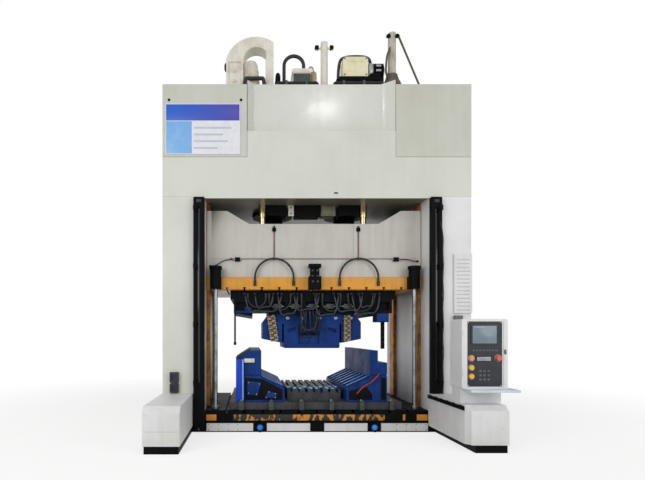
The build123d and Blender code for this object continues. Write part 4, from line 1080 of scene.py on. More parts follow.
@dataclass
class UpperDieTrim:
    """Cable chains, bolts, pocket valves, plates and hoses of the upper die.

    Attributes:
        chains: X and Z of each chain's top and foot, and its width.
        links: Links in a chain.
        chain_depth: Depth of a link.
        bolt_x: X of the block's bolts, on both sides of the middle.
        bolt_drop: Distance of the bolts below the block's top.
        bolt_radius: Their radius.
        pocket_x: X of the middle of each shoe pocket.
        pocket: Depth of a shoe pocket, and distance of its valve below the shoe's top.
        valve: Half width, depth and half height of a pocket valve.
        face_plates: Left, right, bottom and top of the plates on the hanging block and on the left arm.
        film: Thickness of a plate.
        droops: Left and right ends and lowest height of each drooping hose.
        strands: X at the top and at the foot of each hose of the middle bundle.
        strand_z: Heights of the bundle's ends.
        hose_mm: Radius of a drooping hose and of one of the bundle.
        hose_drop: Distance of the drooping hoses' ends below the shoe's top.
        hose_gap: Distance from the shoe's front to a drooping hose.
        sleeve: Profile of the fitting at a hose's end.
    """

    chains: tuple[tuple[float, float, float, float, float], ...] = (
        (-0.735, 1.955, -0.668, 1.490, 0.15),
        (0.626, 1.955, 0.626, 1.490, 0.122),
    )
    links: int = 11
    chain_depth: float = 0.06
    bolt_x: tuple[float, ...] = (0.14, 0.43, 0.70)
    bolt_drop: float = 0.075
    bolt_radius: float = 0.024
    pocket_x: tuple[float, ...] = (-0.616, -0.308, 0.0, 0.308, 0.616)
    pocket: Pair = (0.07, 0.273)
    valve: Triple = (0.07, 0.055, 0.045)
    face_plates: tuple[Quad, ...] = (
        (1.122, 1.328, 1.835, 1.978),
        (-1.37, -1.08, 1.988, 2.026),
        (-1.20, -1.08, 2.03, 2.09),
    )
    film: float = 0.006
    droops: tuple[Triple, ...] = (
        (-1.20, -0.55, 2.02), (-1.02, -0.70, 2.10), (-0.62, -0.27, 1.98), (-0.34, 0.10, 2.06),
        (0.02, 0.44, 1.97), (0.36, 0.86, 2.04), (0.67, 1.16, 1.99), (0.80, 1.04, 2.11),
    )
    strands: Pairs = (
        (-0.22, -0.20), (-0.17, -0.12), (-0.12, -0.15), (-0.06, -0.05), (0.0, 0.04), (0.06, 0.01),
        (0.11, 0.10),
    )
    strand_z: Pair = (2.01, 1.585)
    hose_mm: Pair = (15.0, 17.0)
    hose_drop: float = 0.06
    hose_gap: float = 0.085
    sleeve: Pairs = ((0.023, 0), (0.023, 0.028), (0.019, 0.034))

    def chain(self, name: str, run: tuple[float, float, float, float, float], face: float) -> None:
        """Builds one chain flat against the block.

        Args:
            name: Name of the piece.
            run: X and Z of its top and foot, and its width.
            face: Y of the block's front.
        """
        top_x, top_z, foot_x, foot_z, width = run
        depth = self.chain_depth
        length = math.hypot(top_x - foot_x, top_z - foot_z)
        pitch = length / self.links
        tilt = math.degrees(math.atan2(top_x - foot_x, top_z - foot_z))
        shape = Shape(6.0)
        pins = Shape(3.0)
        for link in range(self.links):
            share = (link + 0.5) / self.links
            x = top_x + (foot_x - top_x) * share
            z = top_z + (foot_z - top_z) * share
            half, tall = width / 2 * (1.0 if link % 2 else 0.9), 0.4 * pitch
            shape.block((x - half, face - depth, z - tall), (x + half, face, z + tall), tilt)
            shade = half * (0.35 if link % 2 else -0.3)
            left, right = x + shade - 0.4 * half, x + shade + 0.4 * half
            pins.block((left, face - 1.1 * depth, z - 0.22 * pitch), (right, face, z + 0.3 * pitch), tilt)
        x, z, half = (top_x + foot_x) / 2, (top_z + foot_z) / 2, 0.42 * width
        near = face - 0.6 * depth
        pins.block((x - half, near, z - length / 2), (x + half, face, z + length / 2), tilt)
        shape.piece(name, BEIGE_NYLON, Body.SLIDE)
        pins.piece(f"{name}_cables", OILED_CABLE, Body.SLIDE)

    def build(self) -> None:
        """Dresses the front of the upper die."""
        block = Extent.of("upper_die_block")
        shoe = Extent.of("upper_die_shoe")
        for name, run in zip(("left_cable_chain", "right_cable_chain"), self.chains):
            self.chain(name, run, block.low.y)
        bolts = Shape()
        for x in self.bolt_x:
            for side in SIDES:
                bolts.bolt((side * x, block.low.y, block.high.z - self.bolt_drop), FORWARD, self.bolt_radius)
        bolts.piece("upper_die_bolts", STEEL, Body.SLIDE)
        half, depth, rise = self.valve
        valves = Shape(4.0)
        nipples = Shape()
        nipple = ((0.016, 0), (0.016, 0.02), (0.011, 0.02), (0.011, 0.04))
        floor, level = shoe.low.y + self.pocket[0], shoe.high.z - self.pocket[1]
        for x in self.pocket_x:
            valves.pad((x, level), (half, rise), floor - depth, floor)
            for way in SIDES:
                nipples.turned((x + way * half, floor - 0.5 * depth, level), (way, 0, 0), nipple, 12)
        valves.piece("pocket_valves", DARK_ENAMEL, Body.SLIDE)
        nipples.piece("pocket_nipples", STEEL, Body.SLIDE)
        plates = Shape(2.0)
        for left, right, low, high in self.face_plates:
            plates.block((left, shoe.low.y - self.film, low), (right, shoe.low.y, high))
        plates.piece("upper_die_plates", BLUE_ENAMEL, Body.SLIDE)
        self.build_hoses()

    def build_hoses(self) -> None:
        """Hangs hoses in front of the shoe, and the bundle that feeds the block."""
        shoe = Extent.of("upper_die_shoe")
        shoe_face, block_face = shoe.low.y, Extent.of("upper_die_block").low.y
        near = shoe_face - self.hose_gap
        seat = shoe_face + 0.01
        pocket = shoe_face + self.pocket[0] + 0.005
        start = shoe.high.z - self.hose_drop
        droop_mm, strand_mm = self.hose_mm
        fittings = Shape()
        for index, (left, right, low) in enumerate(self.droops, 1):
            side = 0.12 * (right - left)
            path = [
                (left, seat, start),
                (left, near, start),
                (left + side, near, low - 0.06),
                ((left + right) / 2, near, low),
                (right - side, near, low - 0.02),
                (right, near, start),
                (right, seat, start),
            ]
            hose(f"die_hose_{index}", path, droop_mm, BLUE_HOSE, Body.SLIDE)
            for x in (left, right):
                fittings.turned((x, shoe_face + 0.002, start), FORWARD, self.sleeve, 12)
        high, low = self.strand_z
        for index, (head, foot) in enumerate(self.strands, 1):
            path = [
                (head, pocket, high + 0.06),
                (head, shoe_face - 0.04, high + 0.02),
                ((head + foot) / 2 + 0.02, block_face - 0.09, (high + low) / 2),
                (foot, block_face - 0.06, low + 0.05),
                (foot, block_face + 0.05, low),
            ]
            jacket = HOSE_RUBBER if index % 2 else BLUE_HOSE
            hose(f"block_hose_{index}", path, strand_mm, jacket, Body.SLIDE)
            fittings.turned((foot, block_face + 0.047, low), FORWARD, self.sleeve, 12)
        fittings.piece("die_hose_fittings", DULL_GREY_IRON, Body.SLIDE)


@dataclass
class LowerDieTrim:
    """Cheek sheet, cap, pad, panels, strips, locators, air hose and clamps of the lower die.

    Attributes:
        cheek_step: How far the cheek plate stands in front of the towers.
        cheek: Left, right, bottom and top of the bright sheet.
        edge_width: Width of the pale strip at its edge, a painted highlight.
        film: Thickness of the sheet.
        cap: X and Z of the ends of the sloped cap.
        cap_depth: Its length along Y from the tower's front.
        cap_height: Its thickness.
        pad: Left, right, bottom and top of the small pad.
        pad_depth: Its thickness.
        pad_screw: Distance of its screws from its ends, and their radius.
        ramp: X and Z of a rib's foot and head.
        strips: Number of ribs.
        strip_width: Width of a strip.
        clamps: X of the clamps on each side.
        clamp: Half width and height of a clamp strap.
        clamp_step: Height of the shoe's edge under a strap.
        clamp_reach: Distance from the shoe's edge to a strap's front, to its heel's back and to its own back.
        clamp_nut: Distance of its nut in front of the edge, and the nut's radius.
        dark_panels: X and Z outlines of the iron panels on the towers' fronts.
        blue_panels: Outlines of the blue panels on top of them.
        panel: Thickness of a panel.
        panel_screw: Radius of a panel's screws.
        locators: Columns of locators on the nest.
        locator: Half width and height of a locator.
        locator_reach: X of the last column.
        locator_rows: Y of the rows.
        air_hose: X, depth behind the towers' front and height of the air hose's control points.
        air_hose_mm: Its radius.
    """

    cheek_step: float = 0.05
    cheek: Quad = (-1.335, -1.213, 0.486, 1.192)
    edge_width: float = 0.022
    film: float = 0.004
    cap: Pairs = ((-1.345, 1.203), (-1.11, 1.345))
    cap_depth: float = 0.9
    cap_height: float = 0.02
    pad: Quad = (-1.200, -1.030, 1.138, 1.205)
    pad_depth: float = 0.035
    pad_screw: Pair = (0.03, 0.012)
    ramp: Pairs = ((0.545, 0.737), (0.895, 0.897))
    strips: int = 8
    strip_width: float = 0.05
    clamps: tuple[float, ...] = (0.25, 0.75, 1.25)
    clamp: Pair = (0.04, 0.03)
    clamp_step: float = 0.12
    clamp_reach: Triple = (-0.075, -0.04, 0.045)
    clamp_nut: Pair = (0.018, 0.022)
    dark_panels: tuple[Pairs, ...] = (
        ((-1.19, 0.51), (-0.56, 0.51), (-0.56, 0.68), (-0.90, 0.86), (-1.19, 0.88)),
        ((0.56, 0.51), (0.95, 0.51), (0.95, 0.60), (0.86, 0.72), (0.56, 0.66)),
        ((1.10, 0.51), (1.18, 0.51), (1.18, 0.88), (1.10, 0.88)),
    )
    blue_panels: tuple[Pairs, ...] = (
        ((-1.15, 0.60), (-0.98, 0.58), (-0.92, 0.80), (-1.15, 0.83)),
        ((-0.86, 0.54), (-0.66, 0.54), (-0.66, 0.62), (-0.80, 0.66)),
    )
    panel: float = 0.008
    panel_screw: float = 0.011
    locators: int = 10
    locator: Pair = (0.027, 0.028)
    locator_reach: float = 0.42
    locator_rows: Triple = (-0.78, -0.66, -0.54)
    air_hose: tuple[Triple, ...] = (
        (0.68, 0.02, 0.60),
        (0.70, -0.02, 0.62),
        (0.78, -0.014, 0.72),
        (0.93, -0.014, 0.80),
        (1.06, -0.02, 0.93),
        (1.08, 0.02, 0.95),
    )
    air_hose_mm: float = 13.0

    def build(self) -> None:
        """Dresses both towers and the shoe."""
        seat = Extent.of("lower_die_saddle").low.y
        front = seat + self.cheek_step
        left, right, low, high = self.cheek
        split = right - self.edge_width
        slab("cheek_sheet", BRIGHT_BLUE, (left, seat - self.film, low), (split, seat, high), 1.5)
        # A pale strip at the cheek's edge: painted highlight.
        slab("cheek_edge_painted_highlight", PALE_BLUE, (split, seat - self.film, low), (right, seat, high), 1.5)
        (foot_x, foot_z), (head_x, head_z) = self.cap
        rise = self.cap_height
        outline = [(foot_x, foot_z), (head_x, head_z), (head_x, head_z + rise), (foot_x, foot_z + rise)]
        Shape(4.0).plate(outline, front - 0.01, front + self.cap_depth).piece("tower_cap", HOSE_RUBBER)
        left, right, low, high = self.pad
        near = front - self.pad_depth
        inset, radius = self.pad_screw
        pad = Shape(4.0).block((left, near, low), (right, front, high))
        for x in (left + inset, right - inset):
            pad.screw((x, near, (low + high) / 2), FORWARD, radius)
        pad.piece("tower_pad", CREAM_ENAMEL)
        self.build_ramp()
        self.build_clamps()
        path = [(x, front + back, z) for x, back, z in self.air_hose]
        hose("tower_air_hose", path, self.air_hose_mm, RED_HOSE)
        self.build_panels(front)
        self.build_locators()

    def build_panels(self, front: float) -> None:
        """Screws the panels to the towers' fronts.

        Args:
            front: Y of the towers' front.
        """
        dark = Shape(2.0)
        for outline in self.dark_panels:
            dark.plate(outline, front - self.panel, front)
        dark.piece("tower_iron_panels", CAST_IRON)
        blue = Shape(2.0)
        screws = Shape()
        for outline in self.blue_panels:
            blue.plate(outline, front - 2 * self.panel, front - self.panel)
            middle = sum((Vector(corner) for corner in outline), Vector((0.0, 0.0))) / len(outline)
            for corner in outline:
                x, z = middle + 0.78 * (Vector(corner) - middle)
                screws.screw((x, front - 2 * self.panel, z), FORWARD, self.panel_screw)
        blue.piece("tower_blue_panels", BLUE_ENAMEL)
        screws.piece("tower_panel_screws", STEEL)

    def build_locators(self) -> None:
        """Sets rows of locators on the front of the nest, which is the top of the lower die shoe."""
        nest = Extent.of("lower_die_shoe").high.z
        half, height = self.locator
        rows: dict[str, Shape] = {"pale": Shape(4.0), "blue": Shape(4.0)}
        reach = self.locator_reach
        for column in range(self.locators):
            x = -reach + 2 * reach * column / (self.locators - 1)
            for row, y in enumerate(self.locator_rows):
                shape = rows["pale" if (column + row) % 3 else "blue"]
                tall = height * (0.6 + 0.4 * ((3 * column + row) % 4) / 3)
                shape.block((x - half, y - half, nest), (x + half, y + half, nest + tall))
        rows["pale"].piece("nest_locators_pale", PALE_BLUE)
        rows["blue"].piece("nest_locators_blue", BLUE_ENAMEL)

    def build_ramp(self) -> None:
        """Lays a pale strip on every rib of both ramps."""
        (foot_x, foot_z), (head_x, head_z) = self.ramp
        length = math.hypot(head_x - foot_x, head_z - foot_z)
        slope = math.degrees(math.atan2(head_z - foot_z, head_x - foot_x))
        half = Extent.of("lower_die_saddle").high.y
        strips = Shape(1.5)
        for side in SIDES:
            x, z = side * (foot_x + head_x) / 2, (foot_z + head_z) / 2
            for rib in range(self.strips):
                y = -half + (2 * rib + 1) * half / self.strips
                strips.block(
                    (x - length / 2, y - self.strip_width / 2, z - self.film),
                    (x + length / 2, y + self.strip_width / 2, z + self.film),
                    -side * slope,
                )
        strips.piece("ramp_strips", PALE_BLUE)

    def build_clamps(self) -> None:
        """Clamps the shoe's front edge to the bolster."""
        shoe = Extent.of("lower_die_shoe")
        half, height = self.clamp
        top = shoe.low.z + self.clamp_step
        near, heel, far = (shoe.low.y + reach for reach in self.clamp_reach)
        nut_gap, nut_radius = self.clamp_nut
        straps = Shape(4.0)
        nuts = Shape()
        for x in (side * place for side in SIDES for place in self.clamps):
            straps.block((x - half, near, top), (x + half, far, top + height))
            straps.block((x - half, near, shoe.low.z), (x + half, heel, top))
            nuts.bolt((x, shoe.low.y - nut_gap, top + height), UPWARD, nut_radius)
        straps.piece("die_clamps", DARK_ENAMEL)
        nuts.piece("die_clamp_nuts", STEEL)


@dataclass
class BolsterTape:
    """Marking tape along the front of the bolster.

    Attributes:
        low_share: Bottom of the tape as a share of the bolster's height.
        high_share: Its top.
        middle: Left and right of the worn length.
        chips: Left and right of each whole length.
        film: Thickness of the tape.
    """

    low_share: float = 0.12
    high_share: float = 0.64
    middle: Pair = (-1.385, 1.12)
    chips: Pairs = ((-1.83, -1.66), (1.65, 1.83), (1.42, 1.46))
    film: float = 0.0015

    def build(self) -> None:
        """Sticks the tape on."""
        bolster = Extent.of("bolster")
        near, far = bolster.low.y - self.film, bolster.low.y
        low = bolster.low.z + self.low_share * bolster.size.z
        high = bolster.low.z + self.high_share * bolster.size.z
        left, right = self.middle
        slab("bolster_tape", WORN_TAPE, (left, near, low), (right, far, high), 0.4)
        chips = Shape(0.4)
        for left, right in self.chips:
            chips.block((left, near, low), (right, far, high))
        chips.piece("bolster_tape_ends", WHOLE_TAPE)


@dataclass
class BedTrim:
    """Screws of the bed's front covers and bezels of its lamps.

    Attributes:
        lens_radius: Radius of a lens.
        bezel: Inner and outer radius and depth of a bezel.
        screw_radius: Radius of a screw head.
        screws: Screws along each row.
        pitch: Distance between them.
        margin: Distance of the screws from the covers' edges.
    """

    lens_radius: float = 0.052
    bezel: Triple = (0.054, 0.076, 0.014)
    screw_radius: float = 0.009
    screws: int = 4
    pitch: float = 0.16
    margin: float = 0.018

    def build(self) -> None:
        """Adds screws and bezels."""
        covers = Extent.of("bed_front_covers")
        lamps = Extent.of("lamp_housings")
        lenses = Extent.of("lamp_lenses")
        inner, outer, depth = self.bezel
        profile = ((inner, 0), (outer, 0), (outer, 0.6 * depth), (0.9 * outer, depth), (inner, depth))
        bezels = Shape()
        for x in (lenses.low.x + self.lens_radius, lenses.high.x - self.lens_radius):
            bezels.turned((x, lamps.low.y, lenses.middle.z), FORWARD, profile, 40, ring=True)
        bezels.piece("lamp_bezels", BLACK_ENAMEL)
        screws = Shape()
        reach = covers.high.x - 2 * self.margin
        for side in SIDES:
            for index in range(self.screws):
                x = side * (reach - index * self.pitch)
                for z in (covers.low.z + self.margin, covers.high.z - self.margin):
                    screws.screw((x, covers.low.y, z), FORWARD, self.screw_radius)
        screws.piece("bed_cover_screws", STEEL)


@dataclass
class CurtainTrim:
    """Lens strips, end caps, cable glands and cable of the light curtain.

    Attributes:
        middle: X of the middle of a post.
        bracket: How far the brackets stand out in front of the posts.
        groove: Depth of the groove in a post.
        strip: Half width and thickness of a lens strip.
        margin: Bare length at each end of a strip.
        cap: Height of an end cap.
        gland_radius: Radius of a cable gland.
        cable_mm: Radius of the cable up the right post.
        cable_ends: Distance of its foot above the post's, and how much shorter than the post it is.
        waves: Turns of the cable from side to side.
        sway: Distances outside the post between which it turns.
        tuck: Depth at which its ends go into the post.
    """

    middle: float = 1.94
    bracket: float = 0.04
    groove: float = 0.03
    strip: Pair = (0.02, 0.012)
    margin: float = 0.09
    cap: float = 0.05
    gland_radius: float = 0.022
    cable_mm: float = 12.0
    cable_ends: Pair = (0.1, 0.5)
    waves: int = 14
    sway: Pair = (0.004, 0.02)
    tuck: float = 0.03

    def build(self) -> None:
        """Dresses both posts."""
        posts = Extent.of("curtain_posts")
        front = posts.low.y + self.bracket
        floor = front + self.groove
        half, film = self.strip
        strips = Shape(2.0)
        caps = Shape(5.0)
        near, far = front - 0.5 * film, front + 0.5 * film
        low, high = posts.low.z + self.margin, posts.high.z - self.margin
        size = self.gland_radius
        gland = ((size, 0), (size, 0.04), (0.7 * size, 0.05))
        for side in SIDES:
            x = side * self.middle
            strips.block((x - half, floor - film, low), (x + half, floor, high))
            caps.block((x - 2 * half, near, high), (x + 2 * half, far, high + self.cap))
            caps.turned((x, far, posts.low.z + self.cap), FORWARD, gland, 8)
        strips.piece("curtain_lens_strips", BLACK_WINDOW)
        caps.piece("curtain_caps", DARK_ABS)
        lift, spare = self.cable_ends
        foot = posts.low.z + lift
        rise = (posts.high.z - posts.low.z - spare) / self.waves
        depth = front + 0.5 * half
        inside = posts.high.x - self.tuck
        path = [(inside, depth, foot - half)]
        for step in range(self.waves):
            path += [(posts.high.x + self.sway[step % 2], depth, foot + step * rise)]
        path += [(inside, depth, foot + self.waves * rise)]
        hose("curtain_cable", path, self.cable_mm, HOSE_RUBBER)


@dataclass
class PedestalTrim:
    """Cable channel, door and fittings of the two floor pedestals.

    Attributes:
        channel: Depth, bottom and top of the cable channel on the inner wall.
        channel_ends: Distance of its ends from the pedestal's front and back.
        clips: Clips along the channel.
        clip: Half length of a clip, and how far it stands above the channel.
        door: Thickness of the door sheet and its margin at the sides.
        door_z: Bottom and top of the door.
        lock_radius: Radius of the door's lock.
        screw: Distances of the left pedestal's screws from its bottom and its top, and their radius.
    """

    channel: Triple = (0.022, 0.565, 0.622)
    channel_ends: Pair = (0.09, 0.02)
    clips: int = 6
    clip: Pair = (0.015, 0.008)
    door: Pair = (0.006, 0.045)
    door_z: Pair = (0.11, 0.58)
    lock_radius: float = 0.016
    screw: Triple = (0.08, 0.11, 0.010)

    def build(self) -> None:
        """Dresses both pedestals."""
        right = Extent.of("right_pedestal")
        depth, low, high = self.channel
        start, end = right.low.y + self.channel_ends[0], right.high.y - self.channel_ends[1]
        channel = Shape(4.0).block((right.low.x - depth, start, low), (right.low.x, end, high))
        half, over = self.clip
        for clip in range(self.clips):
            y = start + (clip + 0.5) * (end - start) / self.clips
            channel.block((right.low.x - 1.2 * depth, y - half, low), (right.low.x, y + half, high + over))
        channel.piece("cable_channel", BLACK_ENAMEL)
        sheet, margin = self.door
        foot, head = self.door_z
        front = right.low.y
        low, high = (right.low.x + margin, front - sheet, foot), (right.high.x - margin, front, head)
        slab("pedestal_door", POWDER_COAT, low, high, 3.0)
        left = Extent.of("left_pedestal")
        fittings = Shape(2.0)
        lock = ((self.lock_radius, 0), (self.lock_radius, 0.006), (0.6 * self.lock_radius, 0.012))
        fittings.turned((right.high.x - 2 * margin, front - sheet, (foot + head) / 2), FORWARD, lock, 24)
        low, high, radius = self.screw
        for x, z in left.corners(margin, low, high):
            fittings.screw((x, left.low.y, z), FORWARD, radius)
        fittings.piece("pedestal_fittings", POWDER_COAT)


@dataclass
class ConsoleTrim:
    """Display, keys, collars, latch and hinges of the operator console.

    Attributes:
        bezel: Width of the screen's bezel.
        recess: Depth of the display behind the bezel's front.
        keys: Left, right and middle height of the key row, and the number of keys.
        key: Half width, depth and half height of a key.
        bar: Height of the bar across the top of the display, with its gap.
        readout: Left, right, bottom and top of the small display.
        readout_frame: Width and depth of its frame, and depth of its film.
        keypad: Left, bottom, pitch, columns and rows of the keypad.
        collar: Inner and outer radius and depth of a button's collar.
        collar_gap: Gap between a collar and its button.
        latch: X and Z of the latch, and its half width and half height.
        latch_depth: How far it stands out.
        hinge_z: Heights of the hinges.
        hinge: Distances of a pin from the cabinet's side and front, its radius and its half length.
        screw: Distance of the panel's screws from its edges, and their radius.
        seam: Distances of the door seam's sides from the panel, and its depth.
    """

    bezel: float = 0.022
    recess: float = 0.005
    keys: tuple[float, float, float, int] = (1.985, 2.345, 1.385, 8)
    key: Triple = (0.017, 0.006, 0.011)
    bar: float = 0.028
    readout: Quad = (2.050, 2.245, 1.238, 1.296)
    readout_frame: Triple = (0.008, 0.006, 0.009)
    keypad: tuple[float, float, float, int, int] = (2.10, 0.98, 0.058, 3, 3)
    collar: Triple = (0.036, 0.046, 0.008)
    collar_gap: float = 0.003
    latch: Quad = (2.441, 1.364, 0.012, 0.032)
    latch_depth: float = 0.014
    hinge_z: Pair = (1.06, 1.62)
    hinge: Quad = (0.012, 0.006, 0.008, 0.04)
    screw: Pair = (0.014, 0.007)
    seam: Triple = (0.018, 0.022, 0.001)

    def build(self) -> None:
        """Dresses the console's front."""
        face = Extent.of("console_panel").low.y
        screen = Extent.of("console_screen")
        bezel, film = self.bezel, 0.4 * self.recess
        near, far, top = screen.low.y, screen.low.y + self.recess, screen.high.z - self.bezel
        low = (screen.low.x + bezel, near + film, screen.low.z + bezel)
        slab("console_display", SCREEN_FILM, low, (screen.high.x - bezel, far, top), 1.0)
        low = (screen.low.x + 1.5 * bezel, near, top - self.bar)
        high = (screen.middle.x, near + film, top - 0.4 * self.bar)
        slab("console_display_bar", WHITE_DISPLAY, low, high, 1.0)
        self.build_keys()
        left, right, low, high = self.readout
        rim, near, nearer = self.readout_frame
        outer_low, outer_high = (left - rim, face - near, low - rim), (right + rim, face, high + rim)
        slab("readout_frame", BLACK_ENAMEL, outer_low, outer_high, 2.0)
        slab("readout_film", WHITE_DISPLAY, (left, face - nearer, low), (right, face - near, high), 1.0)
        inner, outer, depth = self.collar
        profile = ((inner, 0), (outer, 0), (outer, 0.5 * depth), (0.93 * outer, depth), (inner, depth))
        collars = Shape()
        for name in ("upper_button", "middle_button", "lower_button", "emergency_stop"):
            button = Extent.of(name)
            grow = (button.size.x / 2 + self.collar_gap) / inner
            ring = [(grow * radius, along) for radius, along in profile]
            collars.turned((button.middle.x, face, button.middle.z), FORWARD, ring, 36, ring=True)
        collars.piece("button_collars", STEEL)
        self.build_door()

    def build_door(self) -> None:
        """Adds the cabinet's latch, hinges, seam and panel screws."""
        panel, cabinet = Extent.of("console_panel"), Extent.of("console_cabinet")
        front = cabinet.low.y
        x, z, half, rise = self.latch
        latch = Shape(2.0).pad((x, z), (half, rise), front - self.latch_depth, front)
        latch_pin = ((0.008, 0), (0.008, 0.008), (0.006, 0.01))
        latch.turned((x, front - self.latch_depth, z), FORWARD, latch_pin, 20)
        latch.piece("console_latch", TRUNK_PVC)
        hinges = Shape()
        side, gap, radius, reach = self.hinge
        for z in self.hinge_z:
            pin = ((radius, 0), (radius, 2 * reach))
            hinges.turned((cabinet.low.x + side, front - gap, z - reach), UPWARD, pin, 16)
        margin, radius = self.screw
        for x, z in panel.corners(margin, margin, margin):
            hinges.screw((x, panel.low.y, z), FORWARD, radius)
        hinges.piece("console_hinges", POWDER_COAT)
        near, far, depth = self.seam
        low = (panel.high.x + near, front - depth, panel.low.z)
        slab("console_door_seam", TRUNK_PVC, low, (panel.high.x + far, front, panel.high.z), 1.0)

    def build_keys(self) -> None:
        """Sets the key row and the keypad."""
        face = Extent.of("console_panel").low.y
        left, right, level, count = self.keys
        half, depth, rise = self.key
        keys = Shape(2.5)
        for index in range(count):
            x = left + (index + 0.5) * (right - left) / count
            keys.pad((x, level), (half, rise), face - depth, face)
        start, low, pitch, columns, rows = self.keypad
        for column in range(columns):
            for row in range(rows):
                middle = (start + column * pitch, low + row * pitch)
                keys.pad(middle, (half, 1.3 * rise), face - depth, face)
        keys.piece("console_keys", GREY_KEYS)


def ribs(radius: float, swell: float, levels: Sequence[float], steps: Triple) -> list[Pair]:
    """Ribs in the profile of a turned part.

    Args:
        radius: Radius between the ribs.
        swell: Radius of a rib as a share of it.
        levels: Where each rib starts.
        steps: Distances from there to both ends of the rib's top and to its end.

    Returns:
        Radius and distance along the axis of each step.
    """
    near, far, end = steps
    top = swell * radius
    profile = []
    for level in levels:
        profile += [(radius, level), (top, level + near), (top, level + far), (radius, level + end)]
    return profile


def bridge(left: float, right: float, y: float, foot: float, top: float, bend: float) -> list[Triple]:
    """Control points of a pipe that rises, runs across and comes down again.

    Args:
        left: X of its left leg.
        right: X of its right leg.
        y: Its Y.
        foot: Height of its ends.
        top: Height of its run.
        bend: Length of a bend along the run.

    Returns:
        The points from left to right.
    """
    run = [(x, y, top) for x in (left, left + bend, right - bend, right)]
    return [(left, y, foot), *run, (right, y, foot)]


